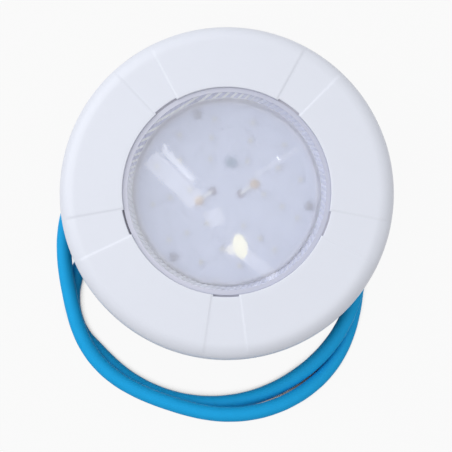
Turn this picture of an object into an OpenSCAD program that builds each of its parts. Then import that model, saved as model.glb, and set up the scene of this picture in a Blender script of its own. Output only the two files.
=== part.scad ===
// Underwater pool light: a flat round LED lamp with a clip-on front bezel, a clear cup lens,
// a rear pot for the driver and a cable gland in the pot's side. Millimetres, +Z towards the front.
// The light lies on its back: z = 0 is the outer face of the pot cover, on the lamp's axis.

/* [Bezel] */
// Outside diameter of the bezel
bezel_d = 170; // [166:1:190]
// Diameter of the bezel's window
window_d = 105; // [96:0.5:108]
// Height of the bezel from its rear edge to its face
bezel_h = 18.5; // [18:0.5:24]
// Wall thickness of the bezel
bezel_wall = 2.4; // [2:0.1:3]
// Radius of the rounded outer shoulder
shoulder_r = 9; // [6:0.5:10]
// Fall of the face from the window to the shoulder
face_fall = 0.8; // [0:0.1:1.5]
// Chamfer round the window's front edge
window_chamfer = 0.8; // [0.4:0.1:1.2]
// Number of narrow recessed panels, one above each hook
panel_count = 5; // [3:1:6]
// Width of a recessed panel, in degrees
panel_angle = 15.5; // [15:0.5:20]
// Direction of the first panel, in degrees
panel_start = 54; // [0:1:72]
// Depth of a recessed panel
panel_depth = 0.6; // [0.3:0.1:0.9]
// Width of a hook and of the slot above it, in degrees
hook_angle = 14; // [10:0.5:14.5]
// Thickness of a hook's arm
hook_arm = 1.8; // [1.4:0.1:2.2]
// Height of a hook's tooth
tooth_h = 0.9; // [0.6:0.1:1.2]
// Depth of the slot, cut outwards from the window's edge
slot_depth = 0.9; // [0.7:0.1:1.8]
// Thickness of the stiffening ribs inside the bezel
rib_t = 1.6; // [1.2:0.1:2.4]
// Length of a rib, inwards from the skirt
rib_len = 11; // [8:0.5:12]

/* [Lens] */
// Setback of the lens behind the bezel's face
lens_setback = 1.4; // [0.8:0.1:2]
// Thickness of the lens front
lens_front_t = 3; // [2:0.1:4]
// Thickness of the lens wall at the front
lens_wall_front = 2.4; // [2:0.1:3]
// Thickness of the lens wall at the flange
lens_wall_rear = 5.2; // [4:0.1:6]
// Width of the lens flange
lens_flange_w = 4.5; // [3.5:0.1:6]
// Thickness of the lens flange
lens_flange_t = 2.5; // [2:0.1:3]
// Thickness of the lens seal
seal_t = 1.2; // [1:0.1:1.6]
// Width of the lens seal
seal_w = 4; // [3:0.1:4.4]

/* [Clamp ring] */
// Thickness of the clamp ring's base
clamp_t = 2.2; // [1.8:0.1:3]
// Wall of the clamp ring's collar
collar_t = 1.3; // [1.1:0.1:1.8]
// Height of the collar above the base
collar_h = 3.2; // [3:0.1:3.6]
// Height of the ledge that the hooks catch
ledge_h = 1.4; // [1:0.1:1.6]
// Width of the ledge
ledge_w = 0.8; // [0.6:0.1:1]
// Number of clamp screws
clamp_screw_count = 8; // [6:1:12]

/* [LED board] */
// Thickness of the LED board
board_t = 1.6; // [1:0.1:2]
// Height of the standoffs under the LED board
standoff_h = 2; // [1.5:0.1:3]
// Number of LEDs on the inner, middle and outer ring
led_counts = [6, 9, 12];
// Radius of the inner, middle and outer ring of LEDs
led_ring_r = [19, 29, 38];
// Direction of the first LED on each ring, in degrees
led_start_angle = [57, -14, 10];
// Length of an LED package
led_l = 3.5; // [2.5:0.1:5]
// Width of an LED package
led_w = 2.8; // [2:0.1:4]
// Height of an LED package
led_h = 0.8; // [0.6:0.1:1.2]
// Diameter of the wire holes
wire_hole_d = 4; // [3:0.1:5]
// Distance of a wire hole from the axis
wire_hole_r = 7.2; // [6:0.1:9]
// Diameter of an LED lead
lead_d = 1.6; // [1.2:0.1:2]

/* [Rear body] */
// Depth of the pot behind the wall plane, with its cover
pot_depth = 24; // [23:0.5:32]
// Outside diameter of the pot
pot_d = 61; // [60:0.5:64]
// Wall thickness of the pot
pot_wall = 3.5; // [3.2:0.1:4]
// Thickness of the mounting flange
flange_t = 3.5; // [3:0.1:5]
// Thickness of the floor behind the LED board
floor_t = 2; // [1.6:0.1:2.4]
// Height of the land that the clamp ring is screwed to
land_h = 2.5; // [2.3:0.1:2.6]
// Number of wall fixing holes
fix_count = 3; // [3:1:4]
// Diameter of a wall fixing hole
fix_hole_d = 4.5; // [4:0.1:5]
// Thickness of the wall gasket
gasket_t = 2; // [1.5:0.1:3]
// Width of the wall gasket
gasket_w = 16; // [14:0.5:18]
// Thickness of the pot cover
cover_t = 3.5; // [3:0.1:4]
// Radius of the screw lugs on pot and cover
lug_r = 4.2; // [4:0.1:5]
// Height of the lugs on the pot
lug_h = 10; // [8:0.5:14]

/* [Driver] */
// Diameter of the driver board
driver_d = 48; // [44:0.5:50]
// Length of the posts that hold the driver board
post_h = 2; // [1.6:0.1:3]
// Diameter of the smoothing capacitor
capacitor_d = 10; // [8:0.5:11]
// Length of the smoothing capacitor
capacitor_h = 12; // [8:0.5:14]
// Diameter of the filter inductor
inductor_d = 11; // [8:0.5:12]
// Height of the filter inductor
inductor_h = 8; // [6:0.5:10]
// Width of the terminal block
terminal_w = 10.4; // [9:0.1:12]
// Depth of the terminal block
terminal_l = 8; // [7:0.1:9]
// Height of the terminal block
terminal_h = 9; // [8:0.1:9.5]

/* [Gland] */
// Direction in which the cable leaves the pot, in degrees
gland_angle = 198; // [190:1:205]
// Height of the gland's axis
gland_z = 10.6; // [10.4:0.1:12]
// Width across flats of the gland nut
gland_af = 17.5; // [17.2:0.1:18]
// Thickness of the shoulder at the foot of the gland's stub
gland_shoulder_t = 1.5; // [1:0.1:3]
// Length of the thread that the nut runs on
gland_thread_l = 7; // [6:0.1:8]
// Wall of the threaded stub on the pot
gland_stub_wall = 1.4; // [1.2:0.1:1.5]
// Wall of the rubber bush
bush_wall = 1.6; // [1.4:0.1:1.8]
// Thickness of the thrust ring
thrust_t = 1.2; // [1:0.1:1.6]
// Thickness of the nut's end wall
nut_end_t = 2.1; // [1.6:0.1:3]

/* [Cable] */
// Diameter of the cable
cable_d = 7.8; // [7:0.1:8]
// Diameter of one insulated core
core_d = 2.3; // [2:0.1:2.6]
// Radius of the cable's loops
loop_r = 78.5; // [74:0.5:84]
// Place of the loops' centre
loop_centre = [-8, -31];
// Widest spread between the two loops
loop_spread = 8.6; // [8.6:0.1:14]
// Swing of the second loop outwards over the first, ahead of the spread
loop_swing = 3; // [0:0.1:4]
// Tuck of the second loop inwards, ahead of the swing
loop_tuck = 1.6; // [0:0.1:2]
// Clear gap between strands that lie on each other
strand_gap = 0.5; // [0.5:0.1:1]

/* [Screws] */
// Shank diameter of the clamp and cover screws
screw_d = 3; // [2.5:0.1:3.2]
// Head diameter of the clamp and cover screws
screw_head_d = 5.2; // [4.8:0.1:5.6]
// Head height of the clamp and cover screws
screw_head_h = 1.7; // [1.4:0.1:1.9]
// Shank diameter of the small board screws
small_screw_d = 2; // [1.6:0.1:2.5]
// Head diameter of the small board screws
small_head_d = 4; // [3.6:0.1:4.4]
// Head height of the small board screws
small_head_h = 1.4; // [1:0.1:1.8]

/* [Hidden] */

$fn = 96;

// Clearances
rim_gap = 0.5;          // bezel's rear edge to the wall
window_gap = 0.5;       // lens to the bezel's window
clamp_gap = 0.4;        // lens to the clamp ring's collar, and lens flange to the land
seat_gap = 0.3;         // bezel to what it rests on
tooth_gap = 0.2;        // hook's tooth to the collar
flange_gap = 1.6;       // flange to the bezel's skirt
board_gap = 1;          // LED board to the lens wall
land_gap = 0.2;         // land to the clamp ring, taken up as the seal is squeezed
screw_gap = 0.05;       // screw shank to its hole
head_gap = 0.4;         // screw head to its counterbore
wire_gap = 0.05;        // a wire's end to what it is soldered or clamped to
thread_gap = 0.08;      // threads that run in each other
cable_gap = 0.3;        // cable to a hole that it passes through
bush_gap = 0.05;        // bush to the cable and to its bore
cut = 1;                // overlap of a cutting shape

// Heights
wall_z = pot_depth;
flange_z = wall_z + gasket_t;
flange_top = flange_z + flange_t;
floor_top = flange_z + floor_t;
land_top = flange_top + land_h;
groove_z = land_top + land_gap - lens_flange_t - seal_t;
lens_flange_z = groove_z + seal_t;
clamp_z = lens_flange_z + lens_flange_t;
clamp_top = clamp_z + clamp_t;
collar_top = clamp_top + collar_h;
ledge_z = collar_top - ledge_h;
bezel_z = wall_z + rim_gap;
bezel_top = bezel_z + bezel_h;
lens_top = bezel_top - lens_setback;
board_z = floor_top + standoff_h;
board_top = board_z + board_t;
driver_top = flange_z - post_h;
driver_t = 1.6;
driver_z = driver_top - driver_t;

// Radii from the lamp's axis
bezel_r = bezel_d / 2;
window_r = window_d / 2;
skirt_in = bezel_r - bezel_wall;
lens_r = window_r - window_gap;
lens_inner_front = lens_r - lens_wall_front;
lens_inner_rear = lens_r - lens_wall_rear;
lens_flange_r = lens_r + lens_flange_w;
collar_in = lens_r + clamp_gap;
collar_out = collar_in + collar_t;
ledge_r = collar_out + ledge_w;
tooth_r = collar_out + tooth_gap;
arm_in = ledge_r + seat_gap;
arm_out = arm_in + hook_arm;
land_in = lens_flange_r + clamp_gap;
screw_land = 4.55;
clamp_screw_r = land_in + screw_land;
clamp_r = clamp_screw_r + screw_land;
flange_r = skirt_in - flange_gap;
fix_r = (clamp_r + flange_r) / 2;
gasket_rim = 0.5;
gasket_out = flange_r - gasket_rim;
gasket_in = gasket_out - gasket_w;
board_r = lens_inner_rear - board_gap;
board_screw_inset = 3.3;
board_screw_r = board_r - board_screw_inset;
key_r = 1.2;
key_gap = 0.15;
key_at = board_r - key_r / 2;
standoff_r = 2.8;
pot_r = pot_d / 2;
pot_in = pot_r - pot_wall;
lug_at = pot_r + lug_r / 2;

// Directions, in degrees
board_screw_angles = [-9, 111, 231];
board_key_angle = 264;
wire_hole_angle = -5;
fix_angles = [for (k = [0 : fix_count - 1]) 90 + k * 360 / fix_count];
lug_angles = [for (k = [0 : 3]) gland_angle + 45 + 90 * k];
gusset_angles = [for (side = [90, 180, 270]) for (turn = [-15, 15]) gland_angle + side + turn];
post_angles = [for (k = [0 : 2]) gland_angle + 60 + 120 * k];
panel_angles = [for (k = [0 : panel_count - 1]) panel_start + k * 360 / panel_count];

// Bezel
window_lip = 2.1;
shoulder_at = bezel_r - shoulder_r;
shoulder_z = bezel_top - face_fall - shoulder_r;
face_under = bezel_top - bezel_wall;
tooth_top = ledge_z - seat_gap;
tooth_z = tooth_top - tooth_h;
rib_z = flange_top + seat_gap;
rib_turn = 22;
rib_bite = 0.5;

// Clamp ring, LED board and screws
clamp_screw_bite = 4;
clamp_screw_spare = 1;
clamp_screw_l = clamp_t + clamp_screw_bite;
board_screw_bite = 1;
board_screw_l = board_t + standoff_h + board_screw_bite;
dish_r = 1.05;
dish_depth = 0.2;
pad_at = [14.2, 4.4];
blob_r = 2.5;
blob_h = 1.3;
rectifier_at = [2.1, 15.4];
rectifier_size = [4.8, 3.9, 1.5];
rectifier_leg = [0.6, 1.1, 0.25];
rectifier_leg_x = 1.5;

// Rear body and cover
fix_recess_r = 4.6;
fix_recess_h = 0.6;
gusset_t = 2.4;
gusset_w = 9;
gusset_h = 9;
post_r = 2.6;
post_at = 19;
post_screw_h = 3.5;
seal_wire_r = 0.8;
seal_at = pot_r - pot_wall / 2;
cover_groove_w = 1.8;
cover_groove_h = 1.65;
cover_chamfer = 0.8;
cover_recess_r = 22;
cover_recess_h = 0.6;
counterbore_h = 2;
cover_screw_l = 9;

// Driver parts, placed along the gland's direction and across it
terminal_u = 6;
terminal_wire_drop = 6.8;
terminal_wire_z = driver_z - terminal_wire_drop;
terminal_pitch = 5;
terminal_hole_depth = 4;
terminal_screw_r = 1.5;
terminal_screw_l = 1.4;
capacitor_at = [-11, 7];
capacitor_crimp = 0.4;
capacitor_crimp_z = 2;
inductor_at = [-10, -8.5];
inductor_flange_h = 1.2;
inductor_waist = 1.6;

// Gland, along its own axis from the lamp's axis outwards
cable_r = cable_d / 2;
bush_in = cable_r + bush_gap;
bush_out = bush_in + bush_wall;
stub_in = bush_out + bush_gap;
stub_r = stub_in + gland_stub_wall;
nut_in = stub_r + thread_gap;
passage_r = cable_r + cable_gap;
shoulder_u = pot_r + seat_gap;
stub_u = shoulder_u + gland_shoulder_t;
stub_end = stub_u + gland_thread_l;
bush_l = 5;
bush_proud = 0.5;
bush_end = stub_end + bush_proud;
bush_u = bush_end - bush_l;
thrust_u = bush_end + 0.05;
thrust_end = thrust_u + thrust_t;
nut_clear = 0.5;
nut_u = stub_u + nut_clear;
nut_seat = thrust_end + 0.05;
nut_end = nut_seat + nut_end_t;
nut_hex_l = 6;
nut_mouth_r = 6.2;
sheath_end_u = 19.5;
lead_start_u = nut_seat + 1;

// Cable loops: angles run on past 360 degrees from the first loop to the second
coil_start = 225;
coil_end = 840;
rings_per_loop = 24;
cable_sides = 8;
core_sides = 8;
spread_at = 668;
spread_rise = 75;
spread_fall = 50;
swing_at = 588;
swing_run = 34;
tuck_at = 550;
tuck_run = 28;
climb_at = 300;
climb_run = 34;
drop_at = 638;
drop_run = 42;

// Route of the cable from the gland's mouth to the first loop
lead_points = [
    [-54.2, -17.5, 10.4], [-63.6, -21.6, 9.4], [-71.5, -28, 7.5], [-77.3, -36.3, 5.5],
    [-80.8, -45.8, 4.2], [-81.6, -55.9, 3.9], [-79.6, -65.8, 3.9], [-75.2, -74.4, 3.9]
];

// Route of a bare core from the end of the sheath: along, across, height
tail_points = [[0, 1.7, 3.9], [6, 1.7, 3.6], [12, 2.2, 2.4], [18, 3, 1.4], [23, 3.6, 1.3]];
// Route of a core inside the pot, from the sheath's end to its terminal: along, across, height
core_out = 1.6;
core_run = 1.2;
core_rise = 0.4;
core_bite = 0.8;
terminal_face = terminal_u + terminal_l;
terminal_side = terminal_pitch / 2;
core_points = [
    [sheath_end_u, core_out, gland_z], [sheath_end_u - core_run, core_out, gland_z + core_rise],
    [(sheath_end_u + terminal_face) / 2, (core_out + terminal_side) / 2, (gland_z + terminal_wire_z) / 2],
    [terminal_face + core_run, terminal_side, terminal_wire_z - core_rise],
    [terminal_face - core_bite, terminal_side, terminal_wire_z]
];
ferrule_d = 1.9;
ferrule_l = 8;

// Smooth step from 0 to 1 and raised hump from -1 to 1
function smooth(t) = let (c = min(1, max(0, t))) c * c * (3 - 2 * c);
function hump(t) = abs(t) < 1 ? 0.5 + 0.5 * cos(180 * t) : 0;

// Point on the cable's loops at a running angle
function wave(a, at, rise, fall) = let (t = a - at) hump(t < 0 ? t / rise : t / fall);
function loop_out(a) = loop_spread * wave(a, spread_at, spread_rise, spread_fall)
    + loop_swing * wave(a, swing_at, swing_run, swing_run) - loop_tuck * wave(a, tuck_at, tuck_run, tuck_run);
function loop_lift(a) =
    (cable_d + strand_gap) * smooth((a - climb_at) / climb_run) * (1 - smooth((a - drop_at) / drop_run));
function loop_point(a) =
    let (r = loop_r + loop_out(a))
    [loop_centre.x + r * cos(a), loop_centre.y + r * sin(a), cable_r + loop_lift(a)];
function heading(a) = [-sin(a), cos(a), 0];

// Point at a distance along the gland's axis
gland_way = [cos(gland_angle), sin(gland_angle), 0];
function gland_point(u) = u * gland_way + [0, 0, gland_z];

loop_steps = ceil((coil_end - coil_start) * rings_per_loop / 360);
loop_angles = [for (i = [0 : loop_steps]) coil_start + (coil_end - coil_start) * i / loop_steps];
coil_first = loop_point(coil_start) - cable_d * heading(coil_start);
coil_last = loop_point(coil_end) + cable_d * heading(coil_end);
coil_path = concat([coil_first], [for (a = loop_angles) loop_point(a)], [coil_last]);
lead_path = concat([gland_point(lead_start_u), gland_point(nut_end + cable_d)], lead_points, [coil_first]);

// Least clear gap between strands of the loops, measured on points over half a loop apart
half_loop = 180;
gap_step = 3;
gap_angles = [for (a = [coil_start : gap_step : coil_end]) a];
strand_gaps = [
    for (a = gap_angles) for (b = gap_angles)
        if (b - a > half_loop) norm(loop_point(b) - loop_point(a)) - cable_d
];
function path_length(path, i = 0) =
    i >= len(path) - 1 ? 0 : norm(path[i + 1] - path[i]) + path_length(path, i + 1);
echo(least_strand_gap = min(strand_gaps));
echo(cable_length = path_length(lead_path) + path_length(coil_path));

// A round tube along a path: one ring of points at each place, square to the path there,
// and at its two ends square to the directions given
function unit(v) = v / norm(v);
function along(path, i, first, final) =
    i == 0 ? first : i == len(path) - 1 ? final : unit(path[i + 1] - path[i - 1]);
function ring(centre, ahead, r, sides) =
    let (side = unit(cross(ahead, [0, 0, 1])), up = cross(side, ahead))
    [for (k = [0 : sides - 1]) centre + r * (cos(360 * k / sides) * side + sin(360 * k / sides) * up)];

module tube(path, d, sides, first, final) {
    last = len(path) - 1;
    points = [for (i = [0 : last]) each ring(path[i], along(path, i, first, final), d / 2, sides)];
    walls = [
        for (i = [0 : last - 1]) for (k = [0 : sides - 1])
            let (a = i * sides + k, b = i * sides + (k + 1) % sides)
            each [[a, a + sides, b], [b, a + sides, b + sides]]
    ];
    front = [for (k = [1 : sides - 2]) [0, k, k + 1]];
    back = [for (k = [1 : sides - 2]) [last * sides, last * sides + k + 1, last * sides + k]];
    polyhedron(points = points, faces = concat(front, walls, back));
}

// Places children along the gland's axis, with that axis as their z
module on_gland_axis() {
    rotate([0, 0, gland_angle]) translate([0, 0, gland_z]) rotate([0, 90, 0]) children();
}

// Places children in the pot's frame: x along the gland's direction, y across it
module in_pot() {
    rotate([0, 0, gland_angle]) children();
}

// Copies children to each direction at a distance from the axis
module around(angles, r) {
    for (a = angles) rotate([0, 0, a]) translate([r, 0, 0]) children();
}

// A ring or disc of rectangular section
module band(r_in, r_out, z_low, z_high) {
    rotate_extrude() translate([r_in, z_low]) square([r_out - r_in, z_high - z_low]);
}

// A hexagon nut blank, width across flats af, from z_low to z_high
module hexagon(af, z_low, z_high) {
    translate([0, 0, z_low]) cylinder(d = af / cos(30), h = z_high - z_low, $fn = 6);
}

// A pan-head screw pointing down -Z, with the underside of its head at z = 0
module pan_screw(d, head_d, head_h, l) {
    edge = head_h * 0.4;
    rotate_extrude() polygon([
        [0, -l], [d / 2, -l], [d / 2, 0], [head_d / 2, 0], [head_d / 2, head_h - edge],
        [head_d / 2 - edge, head_h], [0, head_h]
    ]);
}

// Half section of the bezel's outside, drawn in by an inset
module bezel_outline(inset) {
    polygon([
        [window_r, bezel_z], [bezel_r - inset, bezel_z], [bezel_r - inset, shoulder_z],
        [shoulder_at, shoulder_z], [shoulder_at, shoulder_z + shoulder_r - inset],
        [window_r + window_chamfer, bezel_top - inset], [window_r, bezel_top - inset - window_chamfer]
    ]);
    intersection() {
        translate([shoulder_at, shoulder_z]) circle(r = shoulder_r - inset);
        translate([shoulder_at, shoulder_z]) square(shoulder_r + cut);
    }
}

// Half section of the hollow behind the bezel's face
module bezel_hollow() {
    lip_out = window_r + window_lip;
    polygon([
        [window_r - cut, bezel_z - cut], [skirt_in, bezel_z - cut], [skirt_in, shoulder_z],
        [shoulder_at, shoulder_z], [shoulder_at, shoulder_z + shoulder_r - bezel_wall],
        [lip_out, face_under], [lip_out, collar_top + seat_gap], [window_r - cut, collar_top + seat_gap]
    ]);
    intersection() {
        translate([shoulder_at, shoulder_z]) circle(r = shoulder_r - bezel_wall);
        translate([shoulder_at, shoulder_z]) square(shoulder_r + cut);
    }
}

// One clip hook: an arm with a tooth that points inwards under the ledge
module bezel_hook() {
    rotate([0, 0, -hook_angle / 2]) rotate_extrude(angle = hook_angle) polygon([
        [arm_in, face_under + bezel_wall / 2], [arm_in, tooth_top], [tooth_r, tooth_top],
        [tooth_r, tooth_z + tooth_h / 2], [arm_in, tooth_z], [arm_out, tooth_z],
        [arm_out, face_under + bezel_wall / 2]
    ]);
}

// The slot above a hook, open to the window
module hook_slot() {
    rotate([0, 0, -hook_angle / 2]) rotate_extrude(angle = hook_angle) {
        translate([window_r - cut, collar_top])
            square([slot_depth + cut, bezel_top - collar_top + cut]);
        translate([window_r - cut, collar_top])
            square([arm_in - window_r + cut, face_under - collar_top]);
    }
}

// The shallow skin that is cut away over one recessed panel
module panel_skin() {
    rotate([0, 0, -panel_angle / 2]) rotate_extrude(angle = panel_angle) difference() {
        translate([window_r - cut, bezel_z - cut])
            square([bezel_r - window_r + 2 * cut, bezel_h + 2 * cut]);
        bezel_outline(panel_depth);
        translate([0, bezel_z - 2 * cut]) square([bezel_r - panel_depth, shoulder_z - bezel_z]);
        square([window_r, bezel_top - panel_depth - window_chamfer]);
    }
}

// One rib between the bezel's skirt and its face
module bezel_rib() {
    rotate([90, 0, 0]) translate([0, 0, -rib_t / 2]) linear_extrude(rib_t) polygon([
        [skirt_in - rib_len, rib_z], [skirt_in + rib_bite, rib_z], [skirt_in + rib_bite, shoulder_z],
        [shoulder_at, shoulder_z + shoulder_r - bezel_wall + rib_bite],
        [skirt_in - rib_len, shoulder_z + shoulder_r - bezel_wall + rib_bite]
    ]);
}

module front_bezel() color("white") {
    difference() {
        rotate_extrude() difference() {
            bezel_outline(0);
            bezel_hollow();
        }
        for (a = panel_angles) rotate([0, 0, a]) {
            panel_skin();
            hook_slot();
        }
    }
    for (a = panel_angles) rotate([0, 0, a]) {
        bezel_hook();
        for (turn = [-rib_turn, rib_turn]) rotate([0, 0, turn]) bezel_rib();
    }
}

module lens() color("lightcyan", 0.4) rotate_extrude() polygon([
    [lens_inner_rear, lens_flange_z], [lens_flange_r, lens_flange_z], [lens_flange_r, clamp_z],
    [lens_r, clamp_z], [lens_r, lens_top - window_chamfer], [lens_r - window_chamfer, lens_top],
    [0, lens_top], [0, lens_top - lens_front_t], [lens_inner_front, lens_top - lens_front_t]
]);

module lens_seal() color("dimgray")
    band(lens_flange_r - seal_w, lens_flange_r, groove_z, lens_flange_z);

module clamp_ring() color("whitesmoke") difference() {
    rotate_extrude() polygon([
        [collar_in, clamp_z], [clamp_r, clamp_z], [clamp_r, clamp_top], [collar_out, clamp_top],
        [collar_out, ledge_z], [ledge_r, ledge_z], [ledge_r, collar_top - ledge_h / 2],
        [collar_out, collar_top], [collar_in, collar_top]
    ]);
    around(clamp_screw_angles(), clamp_screw_r)
        translate([0, 0, clamp_z - cut]) cylinder(d = screw_d + 2 * screw_gap, h = clamp_t + 2 * cut);
}

function clamp_screw_angles() = [for (k = [0 : clamp_screw_count - 1]) (k + 0.5) * 360 / clamp_screw_count];

module clamp_screws() color("silver") around(clamp_screw_angles(), clamp_screw_r)
    translate([0, 0, clamp_top]) pan_screw(screw_d, screw_head_d, screw_head_h, clamp_screw_l);

module led_board() color("lavender") difference() {
    translate([0, 0, board_z]) cylinder(r = board_r, h = board_t);
    around(board_screw_angles, board_screw_r)
        translate([0, 0, board_z - cut]) cylinder(d = small_screw_d + 2 * screw_gap, h = board_t + 2 * cut);
    around([wire_hole_angle, wire_hole_angle + 180], wire_hole_r)
        translate([0, 0, board_z - cut]) cylinder(d = wire_hole_d, h = board_t + 2 * cut);
    around([board_key_angle], key_at)
        translate([0, 0, board_z - cut]) cylinder(r = key_r + key_gap, h = board_t + 2 * cut);
}

// One chip LED with a round dish in its top
module led() difference() {
    translate([-led_l / 2, -led_w / 2, 0]) cube([led_l, led_w, led_h]);
    translate([0, 0, led_h - dish_depth]) cylinder(r = dish_r, h = dish_depth + cut);
}

module led_ring(index) color("lemonchiffon")
    around([for (k = [0 : led_counts[index] - 1]) led_start_angle[index] + k * 360 / led_counts[index]],
           led_ring_r[index])
        translate([0, 0, board_top]) led();

module leds_inner_ring() led_ring(0);
module leds_middle_ring() led_ring(1);
module leds_outer_ring() led_ring(2);

module rectifier() color("slategray") translate([rectifier_at.x, rectifier_at.y, board_top]) {
    translate([-rectifier_size.x / 2, -rectifier_size.y / 2, 0]) cube(rectifier_size);
    for (x = [-rectifier_leg_x, rectifier_leg_x]) for (side = [-1, 1])
        translate([x - rectifier_leg.x / 2, side * rectifier_size.y / 2 - rectifier_leg.y / 2, 0])
            cube(rectifier_leg);
}

// A low dome of solder on its pad
module solder_blob() {
    sphere_r = (blob_r * blob_r + blob_h * blob_h) / (2 * blob_h);
    intersection() {
        translate([0, 0, blob_h - sphere_r]) sphere(r = sphere_r);
        cylinder(r = blob_r + cut, h = blob_h + cut);
    }
}

module solder_joints() color("tan") for (side = [1, -1])
    translate([side * pad_at.x, side * pad_at.y, board_top]) solder_blob();

// A lead from the driver board up through a wire hole and over to its solder joint
module led_lead(side) {
    hole = side * wire_hole_r * [cos(wire_hole_angle), sin(wire_hole_angle)];
    run = side * pad_at - hole;
    reach = norm(run) - blob_r - wire_gap;
    bend_r = lead_d;
    run_z = board_top + lead_d / 2 + wire_gap;
    translate([hole.x, hole.y, 0]) rotate([0, 0, atan2(run.y, run.x)]) {
        translate([0, 0, driver_top]) cylinder(d = lead_d, h = run_z - bend_r - driver_top);
        translate([bend_r, 0, run_z - bend_r]) rotate([90, 0, 180])
            rotate_extrude(angle = 90) translate([bend_r, 0]) circle(d = lead_d);
        translate([bend_r, 0, run_z]) rotate([0, 90, 0]) cylinder(d = lead_d, h = reach - bend_r);
    }
}

module led_lead_positive() color("ivory") led_lead(1);
module led_lead_negative() color("ivory") led_lead(-1);

module board_screws() color("gray") around(board_screw_angles, board_screw_r)
    translate([0, 0, board_top]) pan_screw(small_screw_d, small_head_d, small_head_h, board_screw_l);

// Half section of the body's flange, land, seal groove and pot
module body_section() {
    groove_in = lens_flange_r - seal_w - clamp_gap;
    difference() {
        union() {
            translate([0, flange_z]) square([flange_r, flange_t]);
            translate([land_in, flange_z]) square([clamp_r - land_in, land_top - flange_z]);
            translate([pot_in, cover_t]) square([pot_wall, flange_z - cover_t + cut]);
        }
        translate([0, floor_top]) square([lens_inner_rear - board_gap / 2, flange_t]);
        translate([groove_in, groove_z]) square([land_in - groove_in, flange_t]);
    }
}

// A triangular gusset between the pot and the flange
module gusset() {
    rotate([90, 0, 0]) translate([0, 0, -gusset_t / 2]) linear_extrude(gusset_t) polygon([
        [pot_r - pot_wall / 2, flange_z + cut], [pot_r + gusset_w, flange_z + cut],
        [pot_r + gusset_w, flange_z - cut], [pot_r, flange_z - gusset_h],
        [pot_r - pot_wall / 2, flange_z - gusset_h]
    ]);
}

module rear_body() color("white") difference() {
    union() {
        rotate_extrude() body_section();
        around(lug_angles, lug_at) translate([0, 0, cover_t]) cylinder(r = lug_r, h = lug_h);
        for (a = gusset_angles) rotate([0, 0, a]) gusset();
        on_gland_axis() translate([0, 0, pot_in + cut]) cylinder(r = stub_r, h = stub_end - pot_in - cut);
        on_gland_axis() translate([0, 0, shoulder_u]) cylinder(d = gland_af, h = gland_shoulder_t);
        around(board_screw_angles, board_screw_r)
            translate([0, 0, flange_z + cut]) cylinder(r = standoff_r, h = board_z - flange_z - cut);
        around([board_key_angle], key_at)
            translate([0, 0, flange_z + cut]) cylinder(r = key_r, h = board_top - flange_z - cut);
        around(post_angles, post_at) translate([0, 0, driver_top]) cylinder(r = post_r, h = post_h + cut);
    }
    around(fix_angles, fix_r) {
        translate([0, 0, flange_z - cut]) cylinder(d = fix_hole_d, h = flange_t + 2 * cut);
        translate([0, 0, flange_top - fix_recess_h]) cylinder(r = fix_recess_r, h = fix_recess_h + cut);
    }
    around(clamp_screw_angles(), clamp_screw_r)
        translate([0, 0, land_top - clamp_screw_bite - clamp_screw_spare])
            cylinder(d = screw_d + 2 * screw_gap, h = clamp_screw_bite + clamp_screw_spare + cut);
    around(lug_angles, lug_at)
        translate([0, 0, cover_t - cut]) cylinder(d = screw_d + 2 * screw_gap, h = lug_h - 1 + cut);
    around(board_screw_angles, board_screw_r) translate([0, 0, flange_z + cut / 2])
        cylinder(d = small_screw_d + 2 * screw_gap, h = board_z - flange_z + cut);
    around([wire_hole_angle, wire_hole_angle + 180], wire_hole_r)
        translate([0, 0, flange_z - cut]) cylinder(d = wire_hole_d, h = floor_t + 2 * cut);
    around(post_angles, post_at) translate([0, 0, driver_top - cut])
        cylinder(d = small_screw_d + 2 * screw_gap, h = post_screw_h + cut);
    on_gland_axis() translate([0, 0, pot_in - pot_wall]) cylinder(r = passage_r, h = stub_end - pot_in);
    on_gland_axis() translate([0, 0, bush_u]) cylinder(r = stub_in, h = bush_l + cut);
    band(seal_at - cover_groove_w / 2, seal_at + cover_groove_w / 2, cover_t - cut, cover_t + cover_groove_h);
}

module wall_gasket() color("darkgray") difference() {
    band(gasket_in, gasket_out, wall_z, flange_z);
    around(fix_angles, fix_r)
        translate([0, 0, wall_z - cut]) cylinder(d = fix_hole_d + head_gap, h = gasket_t + 2 * cut);
}

module driver_board() color("seagreen") difference() {
    translate([0, 0, driver_z]) cylinder(d = driver_d, h = driver_t);
    around(post_angles, post_at)
        translate([0, 0, driver_z - cut]) cylinder(d = small_screw_d + 2 * screw_gap, h = driver_t + 2 * cut);
}

module driver_screws() color("silver") around(post_angles, post_at)
    translate([0, 0, driver_z]) mirror([0, 0, 1])
        pan_screw(small_screw_d, small_head_d, small_head_h, driver_t + post_h);

module smoothing_capacitor() color("midnightblue") in_pot()
    translate([capacitor_at.x, capacitor_at.y, driver_z - capacitor_h]) rotate_extrude() polygon([
        [0, 0], [capacitor_d / 2, 0], [capacitor_d / 2, capacitor_h - capacitor_crimp_z],
        [capacitor_d / 2 - capacitor_crimp, capacitor_h - capacitor_crimp_z + capacitor_crimp],
        [capacitor_d / 2, capacitor_h - capacitor_crimp_z + 2 * capacitor_crimp],
        [capacitor_d / 2, capacitor_h], [0, capacitor_h]
    ]);

module filter_inductor() color("saddlebrown") in_pot()
    translate([inductor_at.x, inductor_at.y, driver_z - inductor_h]) rotate_extrude() polygon([
        [0, 0], [inductor_d / 2, 0], [inductor_d / 2, inductor_flange_h],
        [inductor_d / 2 - inductor_waist, inductor_flange_h],
        [inductor_d / 2 - inductor_waist, inductor_h - inductor_flange_h],
        [inductor_d / 2, inductor_h - inductor_flange_h], [inductor_d / 2, inductor_h], [0, inductor_h]
    ]);

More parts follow.
